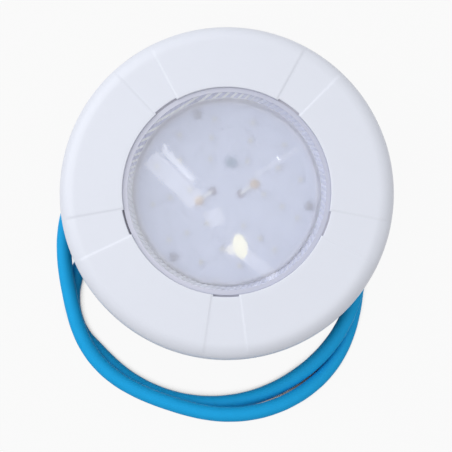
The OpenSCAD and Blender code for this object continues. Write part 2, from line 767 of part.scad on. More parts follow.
module terminal_block() color("forestgreen") in_pot() difference() {
    translate([terminal_u, -terminal_w / 2, driver_z - terminal_h])
        cube([terminal_l, terminal_w, terminal_h]);
    for (side = [-1, 1]) {
        translate([terminal_face - terminal_hole_depth, side * terminal_side, terminal_wire_z])
            rotate([0, 90, 0]) cylinder(d = core_d + 2 * cable_gap, h = terminal_hole_depth + cut);
        translate([terminal_u + terminal_l / 2, side * terminal_side, driver_z - terminal_h - cut])
            cylinder(r = terminal_screw_r + screw_gap, h = terminal_screw_l + cut);
    }
}

module terminal_screws() color("silver") in_pot() for (side = [-1, 1])
    translate([terminal_u + terminal_l / 2, side * terminal_side, driver_z - terminal_h])
        cylinder(r = terminal_screw_r, h = terminal_screw_l - wire_gap);

module core(side) in_pot()
    tube([for (p = core_points) [p.x, side * p.y, p.z]], core_d, core_sides, [-1, 0, 0], [-1, 0, 0]);
module core_brown() color("sienna") core(1);
module core_blue() color("royalblue") core(-1);

module pot_cover() color("white") difference() {
    union() {
        rotate_extrude() polygon([
            [0, cover_recess_h], [cover_recess_r - cover_recess_h, cover_recess_h], [cover_recess_r, 0],
            [pot_r - cover_chamfer, 0], [pot_r, cover_chamfer], [pot_r, cover_t], [0, cover_t]
        ]);
        around(lug_angles, lug_at) cylinder(r = lug_r, h = cover_t);
    }
    around(lug_angles, lug_at) {
        translate([0, 0, -cut]) cylinder(d = screw_d + 2 * screw_gap, h = cover_t + 2 * cut);
        translate([0, 0, -cut]) cylinder(d = screw_head_d + head_gap, h = counterbore_h + cut);
    }
}

module cover_seal() color("dimgray")
    translate([0, 0, cover_t + seal_wire_r]) rotate_extrude() translate([seal_at, 0]) circle(r = seal_wire_r);

module cover_screws() color("silver") around(lug_angles, lug_at)
    translate([0, 0, counterbore_h]) mirror([0, 0, 1])
        pan_screw(screw_d, screw_head_d, screw_head_h, cover_screw_l);

module gland_bush() color("dimgray") on_gland_axis() band(bush_in, bush_out, bush_u, bush_end);

module gland_thrust_ring() color("gainsboro") on_gland_axis()
    band(passage_r, stub_r, thrust_u, thrust_end);

module gland_nut() color("gainsboro") on_gland_axis() difference() {
    union() {
        hexagon(gland_af, nut_u, nut_u + nut_hex_l);
        rotate_extrude() polygon([
            [0, nut_u], [gland_af / 2, nut_u], [gland_af / 2, nut_u + nut_hex_l],
            [nut_mouth_r, nut_end], [0, nut_end]
        ]);
    }
    translate([0, 0, nut_u - cut]) cylinder(r = nut_in, h = nut_seat - nut_u + cut);
    translate([0, 0, nut_u]) cylinder(r = passage_r, h = nut_end - nut_u + cut);
}

module cable_entry() color("deepskyblue") on_gland_axis()
    translate([0, 0, sheath_end_u]) cylinder(d = cable_d, h = lead_start_u - sheath_end_u);

module cable_lead() color("deepskyblue")
    tube(lead_path, cable_d, cable_sides, gland_way, heading(coil_start));

module cable_coil() color("deepskyblue")
    tube(coil_path, cable_d, cable_sides, heading(coil_start), heading(coil_end));

// Places children at the far end of the sheath, x along the cable
module at_tail() {
    translate([coil_last.x, coil_last.y, 0]) rotate([0, 0, coil_end + 90]) children();
}

module tail(side) at_tail()
    tube([for (p = tail_points) [p.x, side * p.y, p.z]], core_d, core_sides, [1, 0, 0], [1, 0, 0]);
module tail_brown() color("sienna") tail(1);
module tail_blue() color("royalblue") tail(-1);

module tail_ferrules() color("silver") at_tail() for (side = [-1, 1])
    translate([tail_points[4].x, side * tail_points[4].y, tail_points[4].z])
        rotate([0, 90, 0]) cylinder(d = ferrule_d, h = ferrule_l);

front_bezel();
lens();
lens_seal();
clamp_ring();
clamp_screws();
led_board();
leds_inner_ring();
leds_middle_ring();
leds_outer_ring();
rectifier();
solder_joints();
led_lead_positive();
led_lead_negative();
board_screws();
rear_body();
wall_gasket();
driver_board();
driver_screws();
smoothing_capacitor();
filter_inductor();
terminal_block();
terminal_screws();
core_brown();
core_blue();
pot_cover();
cover_seal();
cover_screws();
gland_bush();
gland_thrust_ring();
gland_nut();
cable_entry();
cable_lead();
cable_coil();
tail_brown();
tail_blue();
tail_ferrules();
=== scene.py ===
"""Looks of an underwater pool light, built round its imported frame.

Lengths inside the classes are millimetres in the frame's own axes, and MM turns them into metres.
Angles are degrees. The light lies on its back: +Z points out of its face, and the cable lies in two
loops under it.
"""

import logging
import math
from dataclasses import dataclass, field
from enum import Enum
from functools import cache
from typing import Iterable, Sequence

import bmesh
import bpy
from bpy.types import Material, Node, NodeSocket, NodeTree, Object
from mathutils import Matrix, Vector


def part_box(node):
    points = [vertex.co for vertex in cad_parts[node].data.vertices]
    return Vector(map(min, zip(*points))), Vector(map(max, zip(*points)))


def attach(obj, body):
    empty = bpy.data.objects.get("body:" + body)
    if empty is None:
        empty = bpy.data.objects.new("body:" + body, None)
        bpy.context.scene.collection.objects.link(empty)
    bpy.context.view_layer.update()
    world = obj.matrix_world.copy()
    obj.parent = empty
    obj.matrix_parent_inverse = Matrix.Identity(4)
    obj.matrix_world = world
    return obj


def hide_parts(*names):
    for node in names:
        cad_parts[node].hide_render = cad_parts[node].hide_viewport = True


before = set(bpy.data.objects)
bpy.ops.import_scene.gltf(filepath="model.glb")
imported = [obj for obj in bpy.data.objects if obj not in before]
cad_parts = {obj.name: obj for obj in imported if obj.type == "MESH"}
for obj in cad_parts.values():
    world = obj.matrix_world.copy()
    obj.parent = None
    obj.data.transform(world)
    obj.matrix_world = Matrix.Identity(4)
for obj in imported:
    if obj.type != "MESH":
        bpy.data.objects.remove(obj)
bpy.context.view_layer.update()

MM = 0.001
WELD = 1e-6
SLIVER = 1e-7
LOW, HIGH = 0, 1
SQUARE = ((-1, -1), (1, -1), (1, 1), (-1, 1))
GLAND_ANGLE = 198.0
SCUFF_TURNS = (0.5, 2.1)
SCUFF_STRETCH = (1, 26, 8)
SCUFF_SPAN = (0.66, 0.74)
FLUTE_MEAN = 0.5
FLUTE_SHARES = {"ADD": 0.4, "SUBTRACT": 0.1}
LOG = logging.getLogger("pool_light")

Colour = tuple[float, float, float]
Pair = tuple[float, float]
Point = tuple[float, float, float]
Shape = tuple[list[Point], list[list[int]]]
Inputs = dict[str | int, object]


class Body(Enum):
    """The bodies that new pieces ride on."""

    LAMP = "lamp"
    BEZEL = "bezel"


class Facing(Enum):
    """Which way the head of a screw looks."""

    FRONT = 1
    REAR = -1


class Outline(Enum):
    """Outlines of a soft lamp or a light card."""

    RECTANGLE = "RECTANGLE"
    ELLIPSE = "ELLIPSE"


def smooth_step(t: float) -> float:
    """Returns a smooth rise from 0 to 1."""
    c = min(1.0, max(0.0, t))
    return c * c * (3 - 2 * c)


def spun(radius: float, angle: float, z: float) -> Point:
    """Returns the point at a radius and an angle round the Z axis, and at a height."""
    turn = math.radians(angle)
    return (radius * math.cos(turn), radius * math.sin(turn), z)


def arc(centre: Pair, radius: float, first: float, last: float, steps: int) -> list[Pair]:
    """Points along an arc.

    Args:
        centre: Centre of the arc.
        radius: Radius of the arc.
        first: First direction.
        last: Last direction.
        steps: Number of chords.

    Returns:
        The steps + 1 points from first to last.
    """
    turns = [math.radians(first + (last - first) * i / steps) for i in range(steps + 1)]
    return [(centre[0] + radius * math.cos(t), centre[1] + radius * math.sin(t)) for t in turns]


def between(a: Pair, b: Pair, steps: int) -> list[Pair]:
    """Points along a straight stretch, both ends left out.

    Args:
        a: Start of the stretch.
        b: End of the stretch.
        steps: Number of equal parts.

    Returns:
        The steps - 1 points inside the stretch.
    """
    run, rise = b[0] - a[0], b[1] - a[1]
    return [(a[0] + run * i / steps, a[1] + rise * i / steps) for i in range(1, steps)]


def loft(rows: Sequence[Sequence[Point]], closed: bool = True, ring: bool = True) -> Shape:
    """Joins rows of points by faces.

    Args:
        rows: Rows with the same number of points.
        closed: Whether the last row joins the first. If not, both end rows become faces.
        ring: Whether the last point of a row joins its first.

    Returns:
        Corners and faces.
    """
    n = len(rows[0])
    steps = [(k, (k + 1) % n) for k in range(n if ring else n - 1)]
    faces = []
    for i in range(len(rows) if closed else len(rows) - 1):
        j = (i + 1) % len(rows)
        faces += [[i * n + k, j * n + k, j * n + m, i * n + m] for k, m in steps]
    if not closed:
        end = n * (len(rows) - 1)
        faces += [list(range(n)), [end + k for k in reversed(range(n))]]
    return [point for row in rows for point in row], faces


def turned(section: Sequence[Pair], steps: int) -> Shape:
    """Turns a half section round the Z axis.

    Args:
        section: Points (radius, height) from the axis round to the axis, or a closed ring of points.
        steps: Number of parts of the turn.

    Returns:
        Corners and faces, closed where the section is a ring or starts and ends on the axis.
    """
    rows = [[spun(r, 360 * i / steps, z) for r, z in section] for i in range(steps)]
    return loft(rows, ring=section[0][0] > 0)


def swept(section: Sequence[Pair], middle: float, half: float, steps: int) -> Shape:
    """Sweeps a half section through part of a turn round the Z axis.

    Args:
        section: Closed ring of points (radius, height).
        middle: Middle angle of the sweep.
        half: Half of the angle that it covers.
        steps: Number of parts of the sweep.

    Returns:
        Corners and faces, closed at both ends.
    """
    angles = [middle + half * (2 * i / steps - 1) for i in range(steps + 1)]
    return loft([[spun(r, angle, z) for r, z in section] for angle in angles], closed=False)


def moved(shape: Shape, move: Matrix) -> Shape:
    """Returns a shape with its corners moved."""
    return [tuple(move @ Vector(point)) for point in shape[0]], shape[1]


def joined(shapes: Iterable[Shape]) -> Shape:
    """Puts shapes together without welding them.

    Args:
        shapes: Corners and faces of each shape.

    Returns:
        Corners and faces of all of them.
    """
    points, faces = [], []
    for corners, sides in shapes:
        faces += [[len(points) + k for k in side] for side in sides]
        points += corners
    return points, faces


def cad_size(node: str, corner: int, axis: str) -> float:
    """Returns a dataclass field that reads one coordinate of a CAD node's lowest or highest corner."""
    return field(default_factory=lambda: getattr(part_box(node)[corner] / MM, axis))


class Wiring:
    """Adds nodes to one node tree and joins them."""

    def __init__(self, tree: NodeTree) -> None:
        """Keeps the tree that nodes are added to."""
        self.tree = tree

    def feed(self, node: Node, inputs: Inputs) -> None:
        """Sets or joins inputs of a node.

        Args:
            node: The node.
            inputs: Constants or output sockets for its inputs, by name or by number.
        """
        for key, value in inputs.items():
            if isinstance(value, NodeSocket):
                self.tree.links.new(value, node.inputs[key])
            else:
                node.inputs[key].default_value = value

    def add(self, kind: str, inputs: Inputs | None = None, **settings: object) -> Node:
        """Adds a node.

        Args:
            kind: The node's type name.
            inputs: Constants or output sockets for its inputs, by name or by number.
            **settings: Values for the node's own properties.

        Returns:
            The new node.
        """
        node = self.tree.nodes.new(kind)
        for key, value in settings.items():
            setattr(node, key, value)
        self.feed(node, inputs or {})
        return node

    def out(self, kind: str, inputs: Inputs | None = None, **settings: object) -> NodeSocket:
        """Returns the first output of a node that is added."""
        return self.add(kind, inputs, **settings).outputs[0]

    def math(self, operation: str, a: object, b: object = 0.0) -> NodeSocket:
        """Returns the result of one sum on two numbers or sockets."""
        return self.out("ShaderNodeMath", {0: a, 1: b}, operation=operation)

    def plus(self, a: object, b: object) -> NodeSocket:
        """Returns a + b."""
        return self.math("ADD", a, b)

    def minus(self, a: object, b: object) -> NodeSocket:
        """Returns a - b."""
        return self.math("SUBTRACT", a, b)

    def times(self, a: object, b: object) -> NodeSocket:
        """Returns a * b."""
        return self.math("MULTIPLY", a, b)

    def polar(self, radius: object, turn: object, z: object) -> NodeSocket:
        """Point round the Z axis.

        Args:
            radius: Distance from the axis.
            turn: Turn round the axis, in radians.
            z: Height of the point.

        Returns:
            The point's vector.
        """
        x = self.times(radius, self.math("COSINE", turn))
        y = self.times(radius, self.math("SINE", turn))
        return self.out("ShaderNodeCombineXYZ", {0: x, 1: y, 2: z})

    def span(self, value: object, low: float, high: float) -> NodeSocket:
        """Returns a value mapped smoothly from low..high to 0..1."""
        inputs = {"Value": value, "From Min": low, "From Max": high}
        return self.out("ShaderNodeMapRange", inputs, interpolation_type="SMOOTHSTEP")

    def tint(self, factor: object, a: object, b: object) -> NodeSocket:
        """Returns a colour between a and b."""
        return self.add("ShaderNodeMix", {0: factor, 6: a, 7: b}, data_type="RGBA").outputs[2]

    def shade(self, colour: object, factor: object) -> NodeSocket:
        """Returns a colour made darker by a factor."""
        return self.out("ShaderNodeVectorMath", {0: colour, "Scale": factor}, operation="SCALE")

    def noise(self, vector: object, scale: object, detail: float = 2.0) -> NodeSocket:
        """Returns the strength of a noise at a place."""
        return self.out("ShaderNodeTexNoise", {"Vector": vector, "Scale": scale, "Detail": detail})

    def place(self) -> NodeSocket:
        """Returns the place on the piece, in metres."""
        return self.add("ShaderNodeTexCoord").outputs["Object"]


def rgba(colour: Colour) -> tuple[float, float, float, float]:
    """Returns a colour with full alpha."""
    return (*colour, 1.0)


def group_shell(name: str, takes: dict[str, str], gives: dict[str, str], kind: str) -> Wiring:
    """Starts a node group with named sockets.

    Args:
        name: The group's name.
        takes: Socket types of the inputs, by name.
        gives: Socket types of the outputs, by name.
        kind: The tree's type name.

    Returns:
        The wiring of the empty group.
    """
    tree = bpy.data.node_groups.new(name, kind)
    for way, sockets in (("INPUT", takes), ("OUTPUT", gives)):
        for label, socket in sockets.items():
            tree.interface.new_socket(label, in_out=way, socket_type="NodeSocket" + socket)
    return Wiring(tree)


@cache
def moulded_skin() -> NodeTree:
    """Builds the group that gives a moulded surface its mottle, grain and uneven gloss.

    Returns:
        The shader group, made once.
    """
    numbers = ("Mottle", "Mottle Scale", "Grain Scale", "Roughness", "Roughness Spread")
    takes = {"Colour": "Color", **dict.fromkeys(numbers, "Float")}
    gives = {"Colour": "Color", "Roughness": "Float", "Height": "Float"}
    wiring = group_shell("moulded_skin", takes, gives, "ShaderNodeTree")
    source = wiring.add("NodeGroupInput").outputs
    place = wiring.place()
    cloud = wiring.noise(place, source["Mottle Scale"], detail=3.0)
    grain = wiring.noise(place, source["Grain Scale"])
    factor = wiring.minus(1.0, wiring.times(source["Mottle"], cloud))
    colour = wiring.shade(source["Colour"], factor)
    swing = wiring.times(source["Roughness Spread"], wiring.minus(cloud, 0.5))
    rough = wiring.plus(source["Roughness"], swing)
    wiring.add("NodeGroupOutput", {"Colour": colour, "Roughness": rough, "Height": grain})
    return wiring.tree


@cache
def fine_scuffs() -> NodeTree:
    """Builds the group that marks the hairline scuffs of a handled surface.

    Returns:
        The shader group, made once.
    """
    takes = {"Scale": "Float", "Amount": "Float"}
    wiring = group_shell("fine_scuffs", takes, {"Mask": "Float"}, "ShaderNodeTree")
    source = wiring.add("NodeGroupInput").outputs
    place = wiring.place()
    lines = []
    for turn in SCUFF_TURNS:
        inputs = {"Vector": place, "Rotation": (0, 0, turn), "Scale": SCUFF_STRETCH}
        stretched = wiring.out("ShaderNodeMapping", inputs)
        lines.append(wiring.span(wiring.noise(stretched, source["Scale"], detail=1.0), *SCUFF_SPAN))
    both = wiring.math("MAXIMUM", *lines)
    wiring.add("NodeGroupOutput", {"Mask": wiring.times(both, source["Amount"])})
    return wiring.tree


@dataclass(frozen=True)
class Finish:
    """What every finish has: a name, a base colour and a roughness."""

    name: str
    colour: Colour
    roughness: float

    def material(self) -> Material:
        """Makes the material, the first time that it is asked for.

        Returns:
            The material.
        """
        name = "finish_" + self.name
        if name in bpy.data.materials:
            return bpy.data.materials[name]
        material = bpy.data.materials.new(name)
        material.use_nodes = True
        material.node_tree.nodes.clear()
        wiring = Wiring(material.node_tree)
        inputs = {"Base Color": rgba(self.colour), "Roughness": self.roughness}
        shader = wiring.add("ShaderNodeBsdfPrincipled", inputs)
        wiring.add("ShaderNodeOutputMaterial", {"Surface": self.wire(wiring, shader)})
        return material

    def wire(self, wiring: Wiring, shader: Node) -> NodeSocket:
        """Returns the surface that the material puts out."""
        return shader.outputs[0]

    def bump(self, wiring: Wiring, shader: Node, height: object, depth: float) -> None:
        """Presses a height, with a depth in millimetres, into the shader's normal."""
        inputs = {"Height": height, "Distance": depth * MM, "Strength": 1.0}
        wiring.feed(shader, {"Normal": wiring.out("ShaderNodeBump", inputs)})


@dataclass(frozen=True)
class Moulded(Finish):
    """A moulded or extruded plastic, rubber or foam."""

    mottle: float = 0.03
    mottle_size: float = 9.0
    grain_size: float = 0.6
    grain_depth: float = 0.008
    spread: float = 0.1
    scuffs: float = 0.0
    scuff_size: float = 12.0
    gloss: float = 0.5

    def wire(self, wiring: Wiring, shader: Node) -> NodeSocket:
        """Adds mottle, grain and scuffs.

        Args:
            wiring: The material's wiring.
            shader: The Principled shader.

        Returns:
            The shader's output.
        """
        values = {"Colour": rgba(self.colour), "Mottle": self.mottle,
                  "Mottle Scale": 1 / (self.mottle_size * MM), "Grain Scale": 1 / (self.grain_size * MM),
                  "Roughness": self.roughness, "Roughness Spread": self.spread}
        skin = wiring.add("ShaderNodeGroup", values, node_tree=moulded_skin()).outputs
        rough = skin["Roughness"]
        if self.scuffs:
            values = {"Scale": 1 / (self.scuff_size * MM), "Amount": self.scuffs}
            rough = wiring.plus(rough, wiring.out("ShaderNodeGroup", values, node_tree=fine_scuffs()))
        wiring.feed(shader, {"Base Color": skin["Colour"], "Roughness": rough,
                             "Specular IOR Level": self.gloss})
        self.bump(wiring, shader, skin["Height"], self.grain_depth)
        return shader.outputs[0]


@dataclass(frozen=True)
class Metal(Finish):
    """A bare or plated metal with a drawn grain."""

    grain_size: float = 0.5
    grain_depth: float = 0.004
    tarnish: float = 0.2
    cloud_share: float = 0.35

    def wire(self, wiring: Wiring, shader: Node) -> NodeSocket:
        """Adds the grain and a light tarnish.

        Args:
            wiring: The material's wiring.
            shader: The Principled shader.

        Returns:
            The shader's output.
        """
        place = wiring.place()
        fine = 1 / (self.grain_size * MM)
        cloud = wiring.noise(place, self.cloud_share * fine, detail=3.0)
        grain = wiring.noise(place, fine, detail=4.0)
        dark = tuple(c * (1 - self.tarnish) for c in self.colour)
        tone = wiring.tint(cloud, rgba(dark), rgba(self.colour))
        rough = wiring.plus(self.roughness, wiring.times(self.tarnish, grain))
        wiring.feed(shader, {"Metallic": 1.0, "Base Color": tone, "Roughness": rough})
        self.bump(wiring, shader, grain, self.grain_depth)
        return shader.outputs[0]


@dataclass(frozen=True)
class ClearPlastic(Finish):
    """Clear moulded plastic that lets the lamps light what is behind it."""

    passes: Colour = (0.985, 0.99, 1.0)
    refraction: float = 1.49
    clear: float = 1.0

    def wire(self, wiring: Wiring, shader: Node) -> NodeSocket:
        """Makes the shader clear.

        Args:
            wiring: The material's wiring.
            shader: The Principled shader.

        Returns:
            The clear surface, open to light from the lamps.
        """
        wiring.feed(shader, {"Transmission Weight": self.clear, "IOR": self.refraction})
        open_way = wiring.out("ShaderNodeBsdfTransparent", {"Color": rgba(self.passes)})
        path = wiring.add("ShaderNodeLightPath").outputs["Is Shadow Ray"]
        return wiring.out("ShaderNodeMixShader", {0: path, 1: shader.outputs[0], 2: open_way})


@dataclass(frozen=True)
class MistedPaintedLightPlastic(ClearPlastic):
    """Clear matt fluted plastic with painted light: a lighter side, highlight streaks there and paler
    ridges.
    """

    # Painted light: the first tone is the wall on its shaded side, the second the lighter tone painted on
    # the side towards the lamps.
    shaded_valley_tone: Colour = (0.7, 0.72, 0.86)
    painted_lit_tone: Colour = (0.95, 0.96, 1.0)
    # Painted highlight: the tone between the painted highlight streaks.
    gap: Colour = (0.72, 0.73, 0.86)
    # Unfluted misted parts, with the same painted lighter side.
    plain: Colour = (0.545, 0.565, 0.69)
    painted_lit_plain: Colour = (0.62, 0.635, 0.75)
    band_radius: float = 49.0
    # Direction of the painted lighter side.
    painted_lit_angle: float = 175.0
    # Side, slant and pitch of the painted highlight streaks.
    highlight_side: float = 122.0
    highlight_angle: float = 32.0
    highlight_pitch: float = 2.2
    # Share of the painted highlight on the flute ridges.
    ridge_highlight_share: float = 0.3
    painted_lit_span: Pair = (-0.5, 0.5)
    ridge_highlight_span: Pair = (0.55, 0.95)
    highlight_streak_span: Pair = (-0.1, 0.7)
    highlight_side_span: Pair = (0.55, 0.85)
    fluted_span: Pair = (-0.8, -0.1)

    def wire(self, wiring: Wiring, shader: Node) -> NodeSocket:
        """Paints light into the colour: a lighter side, highlight streaks on it and paler ridges.

        Args:
            wiring: The material's wiring.
            shader: The Principled shader.

        Returns:
            The misted surface, open to light from the lamps.
        """
        place = wiring.place()

        def along(angle: float, size: float) -> NodeSocket:
            """Returns the distance from the lamp's axis towards an angle, in parts of a size."""
            inputs = {0: place, 1: spun(1 / (size * MM), angle, 0.0)}
            return wiring.add("ShaderNodeVectorMath", inputs, operation="DOT_PRODUCT").outputs["Value"]

        ridge = wiring.add("ShaderNodeAttribute", attribute_name="ridge").outputs["Fac"]
        # Wave of the painted highlight streaks.
        wave = wiring.math("SINE", along(self.highlight_angle + 90, self.highlight_pitch / math.tau))
        # Painted light: the wall turns lighter towards one side, as if lit from there.
        painted_lit_side = wiring.span(along(self.painted_lit_angle, self.band_radius), *self.painted_lit_span)
        even = wiring.tint(painted_lit_side, rgba(self.shaded_valley_tone), rgba(self.painted_lit_tone))
        plain = wiring.tint(painted_lit_side, rgba(self.plain), rgba(self.painted_lit_plain))
        # Painted highlight: the flute ridges are painted paler than the valleys.
        ridge_highlight = wiring.times(wiring.span(ridge, *self.ridge_highlight_span), self.ridge_highlight_share)
        even = wiring.tint(ridge_highlight, even, rgba(self.colour))
        # Painted highlight streaks, faded in only on the side towards the lamps.
        highlight_streaks = wiring.tint(wiring.span(wave, *self.highlight_streak_span), rgba(self.gap), rgba(self.colour))
        side = wiring.span(along(self.highlight_side, self.band_radius), *self.highlight_side_span)
        tone = wiring.tint(side, even, highlight_streaks)
        tone = wiring.tint(wiring.span(ridge, *self.fluted_span), plain, tone)
        wiring.feed(shader, {"Base Color": tone})
        return super().wire(wiring, shader)


@dataclass(frozen=True)
class BoardMask(Finish):
    """Solder mask over the copper areas of a round board, parted by thin gaps."""

    ring_radii: tuple[float, ...] = (24.0, 33.5)
    sector_count: int = 9
    gap: float = 0.35
    gap_shade: float = 0.88
    gap_depth: float = 0.03
    mottle: float = 0.05
    mottle_size: float = 14.0
    spread: float = 0.1

    def wire(self, wiring: Wiring, shader: Node) -> NodeSocket:
        """Draws the gaps between the copper areas and a faint mottle.

        Args:
            wiring: The material's wiring.
            shader: The Principled shader.

        Returns:
            The shader's output.
        """
        place = wiring.place()
        axes = wiring.add("ShaderNodeSeparateXYZ", {0: place}).outputs
        flat = wiring.out("ShaderNodeCombineXYZ", {0: axes[0], 1: axes[1]})
        radius = wiring.add("ShaderNodeVectorMath", {0: flat}, operation="LENGTH").outputs["Value"]
        half = self.gap * MM / 2
        turn = wiring.math("ARCTAN2", axes[1], axes[0])
        across = wiring.times(wiring.math("PINGPONG", turn, math.pi / self.sector_count), radius)
        outside = wiring.math("GREATER_THAN", radius, self.ring_radii[0] * MM)
        line = wiring.times(wiring.math("LESS_THAN", across, half), outside)
        for ring in self.ring_radii:
            off = wiring.math("ABSOLUTE", wiring.minus(radius, ring * MM))
            line = wiring.math("MAXIMUM", line, wiring.math("LESS_THAN", off, half))
        cloud = wiring.noise(place, 1 / (self.mottle_size * MM), detail=3.0)
        factor = wiring.minus(1.0, wiring.times(line, 1 - self.gap_shade))
        factor = wiring.minus(factor, wiring.times(cloud, self.mottle))
        rough = wiring.plus(self.roughness, wiring.times(cloud, self.spread))
        wiring.feed(shader, {"Base Color": wiring.shade(self.colour, factor), "Roughness": rough})
        self.bump(wiring, shader, wiring.minus(1.0, line), self.gap_depth)
        return shader.outputs[0]


WHITE_ABS = Moulded("white_abs", (0.735, 0.765, 0.855), 0.34, mottle=0.02, grain_depth=0.004, scuffs=0.08)
BODY_ABS = Moulded("body_abs", (0.72, 0.74, 0.78), 0.45, mottle=0.04, grain_depth=0.012, scuffs=0.06)
CLEAR = ClearPlastic("clear_plastic", (0.97, 0.98, 1.0), 0.03)
FROSTED = ClearPlastic("frosted_plastic", (0.97, 0.98, 1.0), 0.5, clear=0.92)
MISTED_PAINTED_LIGHT = MistedPaintedLightPlastic("misted_painted_light_plastic", (0.98, 0.99, 1.0), 0.1, clear=0.03)
SEAL_RUBBER = Moulded("seal_rubber", (0.05, 0.05, 0.06), 0.6, mottle=0.2, mottle_size=3, grain_depth=0.02)
SCREW_STEEL = Metal("screw_steel", (0.62, 0.62, 0.63), 0.26)
BOARD_WHITE = BoardMask("board_white", (0.565, 0.605, 0.75), 0.4)
LED_CASE = Moulded("led_case", (0.58, 0.615, 0.74), 0.4, mottle=0.05, mottle_size=2, grain_size=0.2)
LED_PHOSPHOR = Moulded("led_phosphor", (0.58, 0.56, 0.5), 0.35, mottle=0.12, mottle_size=0.5,
                       grain_size=0.1)
CHIP_GREY = Moulded("chip_grey", (0.34, 0.41, 0.52), 0.5, mottle=0.1, mottle_size=1.5, grain_size=0.1)
TIN = Metal("tin", (0.66, 0.66, 0.64), 0.3, tarnish=0.15)
SOLDER = Moulded("solder", (0.68, 0.57, 0.49), 0.38, mottle=0.25, mottle_size=1.6, grain_size=0.7,
                 grain_depth=0.04)
DARK_STEEL = Metal("dark_steel", (0.4, 0.41, 0.48), 0.34)
# Painted shade: this grey darkens the hook slots, where shade falls.
SLOT_LINER_SHADE = Moulded("slot_liner_shade", (0.5, 0.5, 0.58), 0.6, mottle=0.15, mottle_size=3, grain_size=0.5)
RIM_SILICONE = Moulded("rim_silicone", (0.74, 0.76, 0.88), 0.35, mottle=0.3, mottle_size=4, grain_size=1.2)
LEAD_SEALANT = Moulded("lead_sealant", (0.36, 0.33, 0.42), 0.6, mottle=0.2, mottle_size=1, grain_size=0.4)
LEAD_WHITE = Moulded("lead_white", (0.8, 0.81, 0.84), 0.42, mottle=0.05, mottle_size=2)
GASKET_FOAM = Moulded("gasket_foam", (0.1, 0.1, 0.105), 0.85, mottle=0.35, mottle_size=1.2,
                      grain_size=0.35, grain_depth=0.12)
BOARD_GREEN = Moulded("board_green", (0.02, 0.16, 0.07), 0.35, mottle=0.25, mottle_size=4)
SLEEVE_BLUE = Moulded("sleeve_blue", (0.02, 0.03, 0.12), 0.3, mottle=0.1, mottle_size=4)
COPPER = Metal("copper_winding", (0.72, 0.3, 0.16), 0.3, grain_size=0.4, grain_depth=0.05)
TERMINAL_GREEN = Moulded("terminal_green", (0.05, 0.3, 0.1), 0.45)
CORE_BROWN = Moulded("core_brown", (0.13, 0.05, 0.025), 0.4, mottle=0.1, mottle_size=3)
CORE_BLUE = Moulded("core_blue", (0.03, 0.1, 0.42), 0.4, mottle=0.1, mottle_size=3)
GLAND_NYLON = Moulded("gland_nylon", (0.64, 0.65, 0.67), 0.42, mottle=0.05, mottle_size=4,
                      grain_depth=0.015)
CABLE_BLUE = Moulded("cable_blue", (0.014, 0.385, 0.79), 0.44, mottle=0.1, mottle_size=7, grain_size=0.5,
                     grain_depth=0.012, scuffs=0.1, gloss=0.06)


def put(name: str, data: bpy.types.ID) -> Object:
    """Puts an object in the scene, at the origin.

    Args:
        name: Name of the object.
        data: Its mesh, curve, lamp or camera.

    Returns:
        The object.
    """
    thing = bpy.data.objects.new(name, data)
    bpy.context.scene.collection.objects.link(thing)
    return thing


def new_piece(name: str, shape: Shape, finish: Finish | None = None) -> Object:
    """Makes a mesh piece.

    Args:
        name: Name of the piece.
        shape: Corners in millimetres, and faces.
        finish: Finish of the piece, or None where it gets one later.

    Returns:
        The piece, at the origin and unturned.
    """
    points, faces = shape
    mesh = bpy.data.meshes.new(name)
    mesh.from_pydata([(x * MM, y * MM, z * MM) for x, y, z in points], [], faces)
    if finish:
        mesh.materials.append(finish.material())
    return put(name, mesh)


def tidy_mesh(piece: Object, sharp: float = 35.0) -> Object:
    """Merges doubles, turns faces outwards and shades the piece smooth up to an angle.

    Args:
        piece: The mesh piece.
        sharp: Angle past which an edge stays sharp.

    Returns:
        The same piece.
    """
    work = bmesh.new()
    work.from_mesh(piece.data)
    bmesh.ops.remove_doubles(work, verts=work.verts, dist=WELD)
    bmesh.ops.dissolve_degenerate(work, dist=SLIVER, edges=work.edges)
    bmesh.ops.recalc_face_normals(work, faces=work.faces)
    work.to_mesh(piece.data)
    work.free()
    piece.data.shade_smooth()
    piece.data.set_sharp_from_angle(angle=math.radians(sharp))
    return piece


def plain_mesh(piece: Object) -> bpy.types.Mesh:
    """Returns the mesh of a piece as its modifiers or its curve make it."""
    return bpy.data.meshes.new_from_object(piece.evaluated_get(bpy.context.evaluated_depsgraph_get()))


def settle(piece: Object) -> Object:
    """Turns a piece with modifiers into a plain mesh.

    Args:
        piece: The piece, with its modifiers set.

    Returns:
        The same piece, without modifiers.
    """
    mesh = plain_mesh(piece)
    mesh.name = piece.name
    piece.modifiers.clear()
    piece.data = mesh
    return piece


def grow(piece: Object, tree: NodeTree, values: dict[str, object]) -> Object:
    """Runs a geometry tree on a piece and keeps the mesh that it makes.

    Args:
        piece: The piece whose mesh goes in.
        tree: The geometry tree.
        values: Values of the tree's inputs, by name.

    Returns:
        The same piece, with the new mesh.
    """
    modifier = piece.modifiers.new("grow", "NODES")
    modifier.node_group = tree
    sockets = {s.name: s.identifier for s in tree.interface.items_tree if s.in_out == "INPUT"}
    for label, value in values.items():
        modifier[sockets[label]] = value
    return settle(piece)


